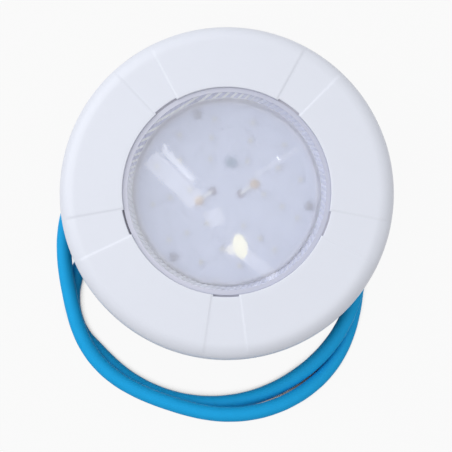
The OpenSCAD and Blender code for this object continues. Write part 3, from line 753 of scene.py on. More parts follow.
@cache
def repeat_round_axis() -> NodeTree:
    """Builds the tree that repeats a part round the lamp's axis, with an accent on marked faces.

    Returns:
        The geometry tree, made once.
    """
    takes = {"Geometry": "Geometry", "Count": "Int",
             **dict.fromkeys(("Radius", "Start Angle", "Height"), "Float"),
             **dict.fromkeys(("Material", "Accent"), "Material")}
    wiring = group_shell("repeat_round_axis", takes, {"Geometry": "Geometry"}, "GeometryNodeTree")
    source = wiring.add("NodeGroupInput").outputs
    index = wiring.out("GeometryNodeInputIndex")
    step = wiring.math("DIVIDE", math.tau, source["Count"])
    turn = wiring.plus(source["Start Angle"], wiring.times(index, step))
    spot = wiring.polar(source["Radius"], turn, source["Height"])
    spin = wiring.out("ShaderNodeCombineXYZ", {2: turn})
    points = wiring.out("GeometryNodePoints", {"Count": source["Count"], "Position": spot})
    inputs = {"Points": points, "Instance": source["Geometry"], "Rotation": spin}
    copies = wiring.out("GeometryNodeInstanceOnPoints", inputs)
    solid = wiring.out("GeometryNodeRealizeInstances", {0: copies})
    inputs = {"Geometry": solid, "Material": source["Material"]}
    plain = wiring.out("GeometryNodeSetMaterial", inputs)
    marked = wiring.out("GeometryNodeInputNamedAttribute", {"Name": "accent"}, data_type="BOOLEAN")
    inputs = {"Geometry": plain, "Selection": marked, "Material": source["Accent"]}
    wiring.add("NodeGroupOutput", {"Geometry": wiring.out("GeometryNodeSetMaterial", inputs)})
    return wiring.tree


def ring_of(part: Object, count: int, start: float, finish: Finish, accent: Finish | None = None,
            radius: float = 0.0, z: float = 0.0) -> Object:
    """Repeats a part round the lamp's axis.

    Args:
        part: The part, which looks along X.
        count: Number of copies.
        start: Angle of the first copy.
        finish: Finish of the copies.
        accent: Finish of the faces that are marked for it, or None for the same.
        radius: Distance of the copies from the axis.
        z: Height of the copies.

    Returns:
        The same piece, with all copies in its mesh.
    """
    values = {"Count": count, "Radius": radius * MM, "Start Angle": math.radians(start), "Height": z * MM,
              "Material": finish.material(), "Accent": (accent or finish).material()}
    return grow(part, repeat_round_axis(), values)


@cache
def fluted_cup() -> NodeTree:
    """Builds the tree that turns a half section round the lamp's axis and flutes a marked stretch.

    Returns:
        The geometry tree, made once.
    """
    takes = {"Geometry": "Geometry",
             **dict.fromkeys(("Section Points", "Segments", "Flute Count"), "Int"),
             **dict.fromkeys(("Flute Depth", "Flute Slant"), "Float"),
             **dict.fromkeys(("Material", "Mist Material", "Frost Material"), "Material")}
    wiring = group_shell("fluted_cup", takes, {"Geometry": "Geometry"}, "GeometryNodeTree")
    source = wiring.add("NodeGroupInput").outputs
    per_column = source["Section Points"]
    columns = wiring.plus(source["Segments"], 1)
    sheet = wiring.out("GeometryNodeMeshGrid", {"Vertices X": columns, "Vertices Y": per_column})
    index = wiring.out("GeometryNodeInputIndex")
    row = wiring.math("MODULO", index, per_column)
    column = wiring.math("FLOOR", wiring.math("DIVIDE", wiring.plus(index, 0.5), per_column))

    def sampled(value: NodeSocket, kind: str) -> NodeSocket:
        """Returns what the half section has in this row."""
        inputs = {"Geometry": source["Geometry"], "Value": value, "Index": row}
        return wiring.out("GeometryNodeSampleIndex", inputs, data_type=kind)

    spot = sampled(wiring.out("GeometryNodeInputPosition"), "FLOAT_VECTOR")
    section = wiring.add("ShaderNodeSeparateXYZ", {0: spot}).outputs
    marks, shares = {}, {}
    for label in ("flute", "mist", "frost"):
        marks[label] = wiring.out("GeometryNodeInputNamedAttribute", {"Name": label}, data_type="FLOAT")
        shares[label] = sampled(marks[label], "FLOAT")
    turn = wiring.math("DIVIDE", wiring.times(column, math.tau), source["Segments"])
    lean = wiring.times(source["Flute Slant"], section[2])
    wave = FLUTE_MEAN
    for way, share in FLUTE_SHARES.items():
        phase = wiring.times(source["Flute Count"], wiring.math(way, turn, lean))
        wave = wiring.plus(wave, wiring.times(wiring.math("COSINE", phase), share))
    cut = wiring.times(wiring.times(shares["flute"], source["Flute Depth"]), wave)
    place = wiring.polar(wiring.plus(section[0], cut), turn, section[2])
    bent = wiring.out("GeometryNodeSetPosition", {"Geometry": sheet, "Position": place})
    raised = wiring.times(shares["flute"], wiring.plus(wave, 1.0))
    shares["ridge"] = wiring.minus(raised, 1.0)
    for label, share in shares.items():
        inputs = {"Geometry": bent, "Name": label, "Value": share}
        bent = wiring.out("GeometryNodeStoreNamedAttribute", inputs, data_type="FLOAT")
    closed = wiring.out("GeometryNodeMergeByDistance", {"Geometry": bent, "Distance": WELD})
    solid = wiring.out("GeometryNodeRealizeInstances", {0: closed})
    inputs = {"Geometry": solid, "Material": source["Material"]}
    dressed = wiring.out("GeometryNodeSetMaterial", inputs)
    for label, finish in (("mist", "Mist Material"), ("frost", "Frost Material")):
        chosen = wiring.math("GREATER_THAN", marks[label], 0.9)
        inputs = {"Geometry": dressed, "Selection": chosen, "Material": source[finish]}
        dressed = wiring.out("GeometryNodeSetMaterial", inputs)
    wiring.add("NodeGroupOutput", {"Geometry": dressed})
    return wiring.tree


def seat(piece: Object, body: Body, slot: str, *nodes: str) -> None:
    """Fixes a finished piece to its body.

    Args:
        piece: The finished piece.
        body: The body that it rides on.
        slot: The record's material slot; not used.
        *nodes: CAD nodes that it stands for.
    """
    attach(piece, body.value)
    if nodes:
        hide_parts(*nodes)
    LOG.info("%s rides on %s and stands for %s", piece.name, body.value, ", ".join(nodes) or "nothing")


def dress(finish: Finish, *nodes: str) -> None:
    """Gives CAD nodes, which stay as they are, a finish.

    Args:
        finish: The finish.
        *nodes: Names of the nodes.
    """
    for node in nodes:
        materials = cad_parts[node].data.materials
        materials.clear()
        materials.append(finish.material())
        LOG.info("%s is dressed in %s", node, finish.name)


@dataclass(frozen=True)
class SoftLamp:
    """A large square lamp that looks at the light."""

    name: str
    place: Point
    size: float
    watts: float
    colour: Colour = (1.0, 1.0, 1.0)


@dataclass(frozen=True)
class Card:
    """A small bright card, hung where the lens mirrors it at a given place for the camera."""

    name: str
    seen_at: Pair
    size: Pair
    turn: float
    strength: float
    outline: Outline = Outline.RECTANGLE
    colour: Colour = (1.0, 1.0, 1.0)


@dataclass
class Studio:
    """Camera, soft lamps and white floor."""

    camera_at: Point = (0.0, -52.7, 583.5)
    camera_aim: Point = (-0.26, -17.3, 34.4)
    focal_px: float = 1085.0
    picture_px: float = 452.0
    sensor: float = 36.0
    nearest: float = 10.0
    sky: float = 0.75
    sky_lean: Point = (-0.14, 0.28, 0.15)
    floor_half: float = 6000.0
    floor_z: float = -0.1
    floor_bounce: float = 0.22
    floor_white: float = 0.94
    gap_reach: float = 9.0
    gap_span: Pair = (0.25, 0.65)
    gap_samples: int = 8
    mirror_z: float = 41.6
    card_rise: float = 700.0
    lamps: tuple[SoftLamp, ...] = (
        SoftLamp("key_lamp", (-800.0, 360.0, 680.0), 1200.0, 5.2),
        SoftLamp("fill_lamp", (420.0, -520.0, 1000.0), 600.0, 1.2, (1.0, 0.95, 0.9)))
    cards: tuple[Card, ...] = (
        Card("window_strip", (-24.6, 12.8), (21.8, 2.4), -46.0, 5.0),
        Card("window_pane", (-26.6, 5.3), (32.0, 9.2), -43.0, 2.9),
        Card("pale_patch", (-6.1, -13.6), (8.5, 8.0), 20.0, 2.4),
        Card("lamp_bowl", (6.9, -27.8), (7.0, 12.4), 14.0, 7.5, Outline.ELLIPSE, (1.0, 0.9, 0.3)),
        Card("lamp_neck", (2.6, -29.6), (6.0, 4.6), 0.0, 5.0, Outline.ELLIPSE, (1.0, 0.9, 0.5)),
        Card("lamp_glow", (15.4, -36.6), (22.0, 6.0), -38.0, 2.1),
        *(Card(f"window_notch_{i}", (-31.0 + 3.35 * i, 21.9 - 3.8 * i), (2.8, 1.8), -46.0, 5.0)
          for i in range(5)),
        Card("spark", (25.6, 16.4), (1.2, 1.2), 0.0, 12.0, Outline.ELLIPSE),
        Card("faint_strip", (24.8, 14.6), (26.0, 2.0), 33.0, 1.2))

    def hang(self, lamp: SoftLamp | Card, place: Vector, size: Pair, watts: float,
             outline: Outline) -> Object:
        """Hangs a soft lamp, facing down.

        Args:
            lamp: The lamp or card, for its name and colour.
            place: Where it hangs.
            size: Its two sides, in metres.
            watts: Its power.
            outline: Its outline.

        Returns:
            The lamp.
        """
        data = bpy.data.lights.new(lamp.name, "AREA")
        data.shape = outline.value
        data.size, data.size_y = size
        data.energy = watts
        data.color = lamp.colour
        hung = put(lamp.name, data)
        hung.location = place * MM
        return hung

    def lamp(self, lamp: SoftLamp) -> None:
        """Hangs one soft lamp and turns it towards the light.

        Args:
            lamp: The lamp.
        """
        side = lamp.size * MM
        hung = self.hang(lamp, Vector(lamp.place), (side, side), lamp.watts, Outline.RECTANGLE)
        hung.rotation_euler = (-hung.location).to_track_quat("-Z", "Y").to_euler()

    def card(self, card: Card) -> None:
        """Hangs one light card above the camera, facing down.

        Args:
            card: The card and the place on the lens where it shows.
        """
        camera = Vector(self.camera_at)
        spot = Vector((*card.seen_at, self.mirror_z))
        grow_by = 1 + self.card_rise / (camera.z - spot.z)
        place = Vector((*(camera + (spot - camera) * grow_by).xy, spot.z + self.card_rise))
        width, height = (side * grow_by * MM for side in card.size)
        watts = card.strength * math.pi * width * height
        hung = self.hang(card, place, (width, height), watts, card.outline)
        hung.rotation_euler = (0, 0, math.radians(card.turn))

    def camera(self) -> None:
        """Sets the camera where the photograph was taken from."""
        data = bpy.data.cameras.new("camera")
        data.sensor_width = self.sensor
        data.lens = self.focal_px / self.picture_px * self.sensor
        data.clip_start = self.nearest * MM
        camera = put("camera", data)
        ahead = (Vector(self.camera_aim) - Vector(self.camera_at)).normalized()
        camera.location = Vector(self.camera_at) * MM
        camera.rotation_euler = ahead.to_track_quat("-Z", "Y").to_euler()
        bpy.context.scene.camera = camera

    def seen_directly(self, wiring: Wiring) -> NodeSocket:
        """Tells rays from the camera, also by way of gloss and glass, from others.

        Args:
            wiring: Wiring of the world or of the floor's material.

        Returns:
            1 on rays from the camera, and 0 on others.
        """
        path = wiring.add("ShaderNodeLightPath").outputs
        mirrored = wiring.math("MAXIMUM", path["Is Glossy Ray"], path["Is Transmission Ray"])
        straight = wiring.math("LESS_THAN", path["Diffuse Depth"], 0.5)
        return wiring.times(straight, wiring.math("MAXIMUM", path["Is Camera Ray"], mirrored))

    def world(self) -> None:
        """Surrounds the light with a soft sky, a little brighter overhead, that looks white."""
        world = bpy.data.worlds.new("studio")
        world.use_nodes = True
        world.node_tree.nodes.clear()
        wiring = Wiring(world.node_tree)
        way = wiring.add("ShaderNodeTexCoord").outputs["Generated"]
        parts = wiring.add("ShaderNodeSeparateXYZ", {0: way}).outputs
        soft = self.sky * (1 - self.sky_lean[2] * 2 / 3)
        for part, lean in zip(parts, self.sky_lean):
            soft = wiring.plus(soft, wiring.times(part, lean * self.sky))
        level = wiring.math("MAXIMUM", self.seen_directly(wiring), soft)
        sky = wiring.out("ShaderNodeBackground", {"Color": (1, 1, 1, 1), "Strength": level})
        wiring.add("ShaderNodeOutputWorld", {"Surface": sky})
        bpy.context.scene.world = world

    def floor(self) -> None:
        """Lays the white floor, which keeps a soft shadow and stays dark in narrow gaps."""
        half = self.floor_half
        corners = [(x * half, y * half, self.floor_z) for x, y in SQUARE]
        floor = new_piece("floor", (corners, [[0, 1, 2, 3]]))
        material = bpy.data.materials.new("floor_white")
        material.use_nodes = True
        material.node_tree.nodes.clear()
        wiring = Wiring(material.node_tree)
        matt = wiring.out("ShaderNodeBsdfDiffuse", {"Color": rgba((self.floor_bounce,) * 3)})
        glow = wiring.out("ShaderNodeEmission", {"Color": (1, 1, 1, 1), "Strength": 1.0})
        inputs = {"Distance": self.gap_reach * MM}
        near = wiring.add("ShaderNodeAmbientOcclusion", inputs, samples=self.gap_samples).outputs["AO"]
        white = wiring.times(wiring.span(near, *self.gap_span), self.floor_white)
        share = wiring.times(self.seen_directly(wiring), white)
        mix = wiring.out("ShaderNodeMixShader", {0: share, 1: matt, 2: glow})
        wiring.add("ShaderNodeOutputMaterial", {"Surface": mix})
        floor.data.materials.append(material)

    def build(self) -> None:
        """Sets the whole studio up."""
        bpy.context.scene.view_settings.view_transform = "Standard"
        self.camera()
        self.world()
        self.floor()
        for lamp in self.lamps:
            self.lamp(lamp)
        for card in self.cards:
            self.card(card)


@dataclass
class SupplyCable:
    """The blue cable with its two loops, and its bare far end."""

    diameter: float = 7.8
    length: float = 963.7
    gland_z: float = 10.6
    start_u: float = 42.1
    mouth_u: float = 43.2
    straight_u: tuple[float, ...] = (45.0, 48.0, 51.0)
    lead_points: tuple[Point, ...] = (
        (-54.2, -17.5, 10.4), (-63.6, -21.6, 9.4), (-71.5, -28, 7.5), (-77.3, -36.3, 5.5),
        (-80.8, -45.8, 4.2), (-81.6, -55.9, 3.9), (-79.6, -65.8, 3.9), (-75.2, -74.4, 3.9))
    loop_centre: Pair = (-8.0, -31.0)
    loop_radius: float = 78.5
    strand_gap: float = 0.5
    coil_start: float = 225.0
    coil_end: float = 840.0
    points_per_loop: int = 48
    waves: tuple[tuple[float, float, float, float], ...] = (
        (668.0, 75.0, 50.0, 8.6), (588.0, 34.0, 34.0, 3.0), (550.0, 28.0, 28.0, -1.6))
    climb: Pair = (300.0, 34.0)
    drop: Pair = (638.0, 42.0)
    ring_detail: int = 8
    run_detail: int = 6
    core_diameter: float = 2.3
    core_points: tuple[Point, ...] = (
        (-4, 1.7, 3.9), (0, 1.7, 3.9), (6, 1.7, 3.6), (12, 2.2, 2.4), (18, 3, 1.4), (23, 3.6, 1.3))
    ferrule_radius: float = 0.95
    ferrule_length: float = 8.0
    ferrule_edge: float = 0.1
    ferrule_tip: float = 0.25
    ferrule_steps: int = 24
    crimp_starts: tuple[float, ...] = (1.6, 3.4, 5.2)
    crimp_length: float = 0.9
    crimp_slope: float = 0.25
    crimp_depth: float = 0.12

    def gland_point(self, u: float) -> Point:
        """Returns the point at a distance along the gland's axis."""
        return spun(u, GLAND_ANGLE, self.gland_z)

    def loop_point(self, angle: float) -> Point:
        """Point on the loops.

        Args:
            angle: Running angle, past 360 on the second loop.

        Returns:
            The centreline's point there.
        """
        radius = self.loop_radius
        for middle, rise, fall, size in self.waves:
            t = (angle - middle) / (rise if angle < middle else fall)
            radius += size * (0.5 + 0.5 * math.cos(math.pi * t)) if abs(t) < 1 else 0.0
        up = smooth_step((angle - self.climb[0]) / self.climb[1])
        down = smooth_step((angle - self.drop[0]) / self.drop[1])
        lift = (self.diameter + self.strand_gap) * up * (1 - down)
        x, y, z = spun(radius, angle, self.diameter / 2 + lift)
        return (self.loop_centre[0] + x, self.loop_centre[1] + y, z)

    def beyond(self, angle: float, run: float) -> Point:
        """Returns the point a straight run beyond the loops' point at an angle."""
        pairs = zip(self.loop_point(angle), spun(run, angle + 90, 0.0))
        return tuple(place + step for place, step in pairs)

    def route(self) -> list[Point]:
        """Lays out the cable.

        Returns:
            The centreline from the gland to the end of the sheath.
        """
        lead = [self.gland_point(u) for u in (self.start_u, *self.straight_u)] + list(self.lead_points)
        steps = math.ceil((self.coil_end - self.coil_start) * self.points_per_loop / 360)
        sweep = (self.coil_end - self.coil_start) / steps
        loops = [self.loop_point(self.coil_start + sweep * i) for i in range(steps + 1)]
        first = self.beyond(self.coil_start, -self.diameter)
        last = self.beyond(self.coil_end, self.diameter)
        return [*lead, first, *loops, last]

    def curve(self, name: str, points: Sequence[Point], diameter: float, finish: Finish) -> Object:
        """Makes a round curve through points.

        Args:
            name: Name of the piece.
            points: Points of the centreline.
            diameter: Diameter of the round section.
            finish: Finish of the piece.

        Returns:
            The curve piece.
        """
        data = bpy.data.curves.new(name, "CURVE")
        data.dimensions = "3D"
        data.bevel_depth = diameter / 2 * MM
        data.bevel_resolution = self.ring_detail
        data.resolution_u = self.run_detail
        data.use_fill_caps = True
        spline = data.splines.new("BEZIER")
        spline.bezier_points.add(len(points) - 1)
        for spot, point in zip(spline.bezier_points, points):
            spot.co = Vector(point) * MM
            spot.handle_left_type = "AUTO"
            spot.handle_right_type = "AUTO"
        data.materials.append(finish.material())
        return put(name, data)

    def tail_frame(self) -> Matrix:
        """Returns the place of the sheath's far end on the floor, with x along the cable."""
        x, y, _ = self.beyond(self.coil_end, self.diameter)
        return Matrix.Translation((x, y, 0)) @ Matrix.Rotation(math.radians(self.coil_end + 90), 4, "Z")

    def core(self, name: str, side: int, finish: Finish) -> Object:
        """Makes one bare core.

        Args:
            name: Name of the piece.
            side: Side of the cable that it lies on, 1 or -1.
            finish: Finish of the core.

        Returns:
            The core, as a mesh.
        """
        here = self.tail_frame()
        points = [tuple(here @ Vector((x, side * y, z))) for x, y, z in self.core_points]
        curve = self.curve(name + "_line", points, self.core_diameter, finish)
        mesh = plain_mesh(curve)
        bpy.data.objects.remove(curve)
        return tidy_mesh(put(name, mesh))

    def ferrules(self) -> Object:
        """Makes the crimped ferrules on the two cores.

        Returns:
            Both ferrules as one piece.
        """
        r, long, edge, tip = self.ferrule_radius, self.ferrule_length, self.ferrule_edge, self.ferrule_tip
        waist = r - self.crimp_depth
        section = [(0, 0), (r - edge, 0), (r, edge)]
        for start in self.crimp_starts:
            end = start + self.crimp_length
            section += [(r, start), (waist, start + self.crimp_slope)]
            section += [(waist, end - self.crimp_slope), (r, end)]
        section += [(r, long - tip), (r - tip, long), (0, long)]
        ferrule = moved(turned(section, self.ferrule_steps), Matrix.Rotation(math.radians(90), 4, "Y"))
        x, y, z = self.core_points[-1]
        ends = [self.tail_frame() @ Matrix.Translation((x, side * y, z)) for side in (1, -1)]
        return tidy_mesh(new_piece("ferrules", joined(moved(ferrule, end) for end in ends), TIN))

    def build(self) -> None:
        """Lays the cable and its bare end."""
        cable = self.curve("supply_cable", self.route(), self.diameter, CABLE_BLUE)
        brown = self.core("bare_core_brown", 1, CORE_BROWN)
        blue = self.core("bare_core_blue", -1, CORE_BLUE)
        ferrules = self.ferrules()
        seat(cable, Body.LAMP, "cable_blue", "cable_lead", "cable_coil")
        seat(brown, Body.LAMP, "core_brown", "tail_brown")
        seat(blue, Body.LAMP, "core_blue", "tail_blue")
        seat(ferrules, Body.LAMP, "screw_steel", "tail_ferrules")
        [c * MM for c in self.gland_point(self.mouth_u)]
        dress(CABLE_BLUE, "cable_entry")
        dress(CORE_BROWN, "core_brown")
        dress(CORE_BLUE, "core_blue")


@dataclass
class FrontBezel:
    """The clip-on bezel: a rounded white ring with recessed panels, hook slots, hooks and ribs."""

    radius: float = cad_size("front_bezel", HIGH, "x")
    low: float = cad_size("front_bezel", LOW, "z")
    top: float = cad_size("front_bezel", HIGH, "z")
    window: float = 52.36
    wall: float = 2.4
    shoulder: float = 9.0
    face_fall: float = 0.8
    window_round: float = 0.45
    edge_round: float = 0.4
    lip_low: float = 37.9
    lip_wall: float = 2.1
    skirt_steps: int = 4
    brow_steps: int = 22
    face_steps: int = 12
    window_steps: int = 6
    edge_steps: int = 3
    land_steps: int = 5
    shoulder_steps: int = 10
    panel_count: int = 5
    panel_start: float = 54.0
    panel_half: float = 7.75
    panel_depth: float = 0.38
    panel_edge: float = 0.65
    panel_edge_steps: int = 8
    panel_fade: Pair = (30.0, 70.0)
    slot_half: float = 7.0
    slot_depth: float = 0.9
    slot_edge: float = 0.07
    slot_edge_steps: int = 4
    step: float = 0.75
    step_clear: float = 1.2
    hook_arm: Pair = (54.8, 56.6)
    hook_tip: float = 53.9
    hook_heights: tuple[float, float, float] = (35.0, 35.45, 35.9)
    hook_steps: int = 10
    rib_turn: float = 22.0
    rib_thick: float = 1.6
    rib_low: float = 29.8
    rib_length: float = 11.0
    bite: float = 0.5
    # Strips under the hook slots, grey to paint shade into them; the lamps shade each one by its sink.
    liner_radii: Pair = (52.34, 53.5)
    liner_top: float = 41.5
    liner_thick: float = 0.7
    liner_sinks: tuple[float, ...] = (0.2, 0.3, 2.2, 1.0, 0.3)
    liner_round: float = 0.12
    liner_steps: int = 14

    @property
    def centre(self) -> Pair:
        """Returns the centre (radius, height) of the shoulder's round."""
        return (self.radius - self.shoulder, self.top - self.face_fall - self.shoulder)

    def section(self, recess: float, notch: float) -> list[Pair]:
        """Closed half section of the ring.

        Args:
            recess: How deep the outside lies below the plain face.
            notch: Share of the slot's depth, from 0 to 1.

        Returns:
            Points (radius, height), starting at the skirt's rear edge.
        """
        e, w = self.edge_round, self.window_round
        centre = self.centre
        edge = self.window + notch * self.slot_depth
        slope = self.face_fall / (centre[0] - self.window - w)
        inner_z = self.top - recess - slope * (edge - self.window)
        under = self.top - self.wall
        lip_out = self.window + self.lip_wall
        lip_low = self.lip_low + notch * (under - e - self.lip_low)
        inside = self.radius - self.wall
        points = arc((self.radius - e, self.low + e), e, -90, 0, self.skirt_steps)
        points += between((self.radius, self.low + e), (self.radius, centre[1]), self.skirt_steps)
        points += self.brow(recess)
        face_end = (centre[0], centre[1] + self.shoulder - recess)
        points += between(face_end, (edge + w, inner_z), self.face_steps)
        points += arc((edge + w, inner_z - w), w, 90, 180, self.window_steps)
        points += between((edge, inner_z - w), (edge, lip_low + e), self.edge_steps)
        points += arc((edge + e, lip_low + e), e, 180, 270, self.edge_steps)
        points += arc((lip_out - e, lip_low + e), e, -90, 0, self.edge_steps)
        points += arc((lip_out + e, under - e), e, 180, 90, self.edge_steps)
        points += between((lip_out + e, under), (centre[0], under - self.face_fall), self.land_steps)
        points += arc(centre, self.shoulder - self.wall, 90, 0, self.shoulder_steps)
        points += between((inside, centre[1]), (inside, self.low + e), self.edge_steps)
        points += arc((inside + e, self.low + e), e, 180, 270, self.edge_steps)
        return points

    def brow(self, recess: float) -> list[Pair]:
        """Points over the shoulder, where the recess fades out towards the side.

        Args:
            recess: How deep the face lies below the plain face.

        Returns:
            Points (radius, height), from the side to the face.
        """
        first, last = self.panel_fade
        points = []
        for i in range(self.brow_steps + 1):
            angle = 90 * i / self.brow_steps
            reach = self.shoulder - recess * smooth_step((angle - first) / (last - first))
            out, up, _ = spun(reach, angle, 0.0)
            points.append((self.centre[0] + out, self.centre[1] + up))
        return points

    def stations(self) -> list[tuple[float, float, float]]:
        """Finds the places round the ring that get a section, closer at the panels' and slots' edges.

        Returns:
            The angle, recess and notch of each place.
        """
        pitch = 360 / self.panel_count
        edges = ((self.panel_half, self.panel_edge, self.panel_edge_steps),
                 (self.slot_half, self.slot_edge, self.slot_edge_steps))
        offsets = {-pitch / 2 + self.step * i for i in range(round(pitch / self.step))}
        for middle, half, _ in edges:
            offsets = {o for o in offsets if abs(abs(o) - middle) > half * self.step_clear}
        for middle, half, steps in edges:
            for side in (-1, 1):
                offsets |= {side * middle - half + 2 * half * i / steps for i in range(steps + 1)}
        places = []
        for k in range(self.panel_count):
            for offset in sorted(offsets):
                reaches = [(middle + half - abs(offset)) / (2 * half) for middle, half, _ in edges]
                panel, slot = (smooth_step(reach) for reach in reaches)
                places.append((self.panel_start + k * pitch + offset, self.panel_depth * panel, slot))
        return places

    def shell(self) -> Object:
        """Makes the ring with its panels and slots.

        Returns:
            The ring.
        """
        rows = [[spun(r, angle, z) for r, z in self.section(recess, notch)]
                for angle, recess, notch in self.stations()]
        return tidy_mesh(new_piece("bezel_shell", loft(rows), WHITE_ABS), sharp=50.0)

    def hook_and_ribs(self) -> Object:
        """Makes one hook with the two ribs beside it.

        Returns:
            The hook on the X axis, and its ribs.
        """
        inner, outer = self.hook_arm
        low, mid, high = self.hook_heights
        root = self.top - self.wall + self.bite
        hook = [(inner, root), (inner, high), (self.hook_tip, high), (self.hook_tip, mid), (inner, low),
                (outer, low), (outer, root)]
        skirt = self.radius - self.wall
        out, back = skirt + self.bite, skirt - self.rib_length
        rib_top = root - self.face_fall
        rib = [(back, self.rib_low), (out, self.rib_low), (out, self.centre[1]), (self.centre[0], rib_top),
               (back, rib_top)]
        half = self.rib_thick / 2
        plate = loft([[(r, y, z) for r, z in rib] for y in (-half, half)], closed=False)
        turns = [Matrix.Rotation(math.radians(side * self.rib_turn), 4, "Z") for side in (-1, 1)]
        arm = swept(hook, 0.0, self.slot_half, self.hook_steps)
        shapes = [arm, *(moved(plate, turn) for turn in turns)]
        return tidy_mesh(new_piece("bezel_hooks", joined(shapes), WHITE_ABS))

    def shade_liners(self) -> Object:
        """Makes the grey strips that close the hook slots from below, pushed in to uneven depths; their
        grey paints shade into the slots.

        Returns:
            All strips as one piece.
        """
        inner, outer = self.liner_radii
        e = self.liner_round
        shapes = []
        for k, sink in enumerate(self.liner_sinks):
            high = self.liner_top - sink
            low = high - self.liner_thick
            strip = [(outer, low), (outer, high), (inner + e, high), (inner, high - e), (inner, low + e),
                     (inner + e, low)]
            middle = self.panel_start + 360 * k / self.panel_count
            shapes.append(swept(strip, middle, self.slot_half, self.liner_steps))
        return tidy_mesh(new_piece("slot_shade_liners", joined(shapes), SLOT_LINER_SHADE))

    def build(self) -> None:
        """Builds the ring and what is inside it."""
        seat(self.shell(), Body.BEZEL, "white_abs", "front_bezel")
        hooks = ring_of(self.hook_and_ribs(), self.panel_count, self.panel_start, WHITE_ABS)
        seat(hooks, Body.BEZEL, "white_abs")
        seat(self.shade_liners(), Body.BEZEL, "seal_rubber")


@dataclass(frozen=True)
class PanScrews:
    """A ring of pan-head screws with cross recesses."""

    name: str
    node: str
    count: int
    ring: float
    start: float
    seat_z: float
    shank: float
    head: float
    height: float
    length: float
    facing: Facing = Facing.FRONT
    finish: Finish = SCREW_STEEL
    steps: int = 32
    tip_share: float = 0.8
    tip_rise: float = 0.3
    chamfer: float = 0.1
    dome_share: float = 0.45
    dome_angle: float = 75.0
    dome_steps: int = 5
    recess_long: float = 0.55
    recess_wide: float = 0.11
    recess_depth: float = 0.6
    recess_above: float = 1.0
    recess_taper: Pair = (0.7, 1.15)

    def screw(self) -> Object:
        """Makes one screw with the underside of its head at the origin.

        Returns:
            The screw.
        """
        tip = -self.length
        dome = self.height * self.dome_share
        section = [(0.0, tip), (self.shank * self.tip_share, tip)]
        section += [(self.shank, tip + self.shank * self.tip_rise), (self.shank, 0.0)]
        section += [(self.head - self.chamfer, 0.0), (self.head, self.chamfer)]
        section += arc((self.head - dome, self.height - dome), dome, 0, self.dome_angle, self.dome_steps)
        section += [(0.0, self.height)]
        screw = tidy_mesh(new_piece(self.name, turned(section, self.steps)))
        long, wide = self.head * self.recess_long, self.head * self.recess_wide
        levels = (self.height * (1 - self.recess_depth), self.height + self.recess_above)
        for half_x, half_y in ((long, wide), (wide, long)):
            rows = [[(x * half_x * k, y * half_y * k, z) for x, y in SQUARE]
                    for z, k in zip(levels, self.recess_taper)]
            cutter = tidy_mesh(new_piece("recess_cutter", loft(rows, closed=False)))
            cut = screw.modifiers.new("recess", "BOOLEAN")
            cut.object = cutter
            cut.operation = "DIFFERENCE"
            cut.solver = "EXACT"
            settle(screw)
            bpy.data.objects.remove(cutter)
        if self.facing is Facing.REAR:
            screw.data.transform(Matrix.Rotation(math.pi, 4, "X"))
        return tidy_mesh(screw, sharp=30.0)

    def build(self) -> None:
        """Builds the ring of screws."""
        screws = ring_of(self.screw(), self.count, self.start, self.finish, radius=self.ring, z=self.seat_z)
        seat(screws, Body.LAMP, "screw_steel", self.node)


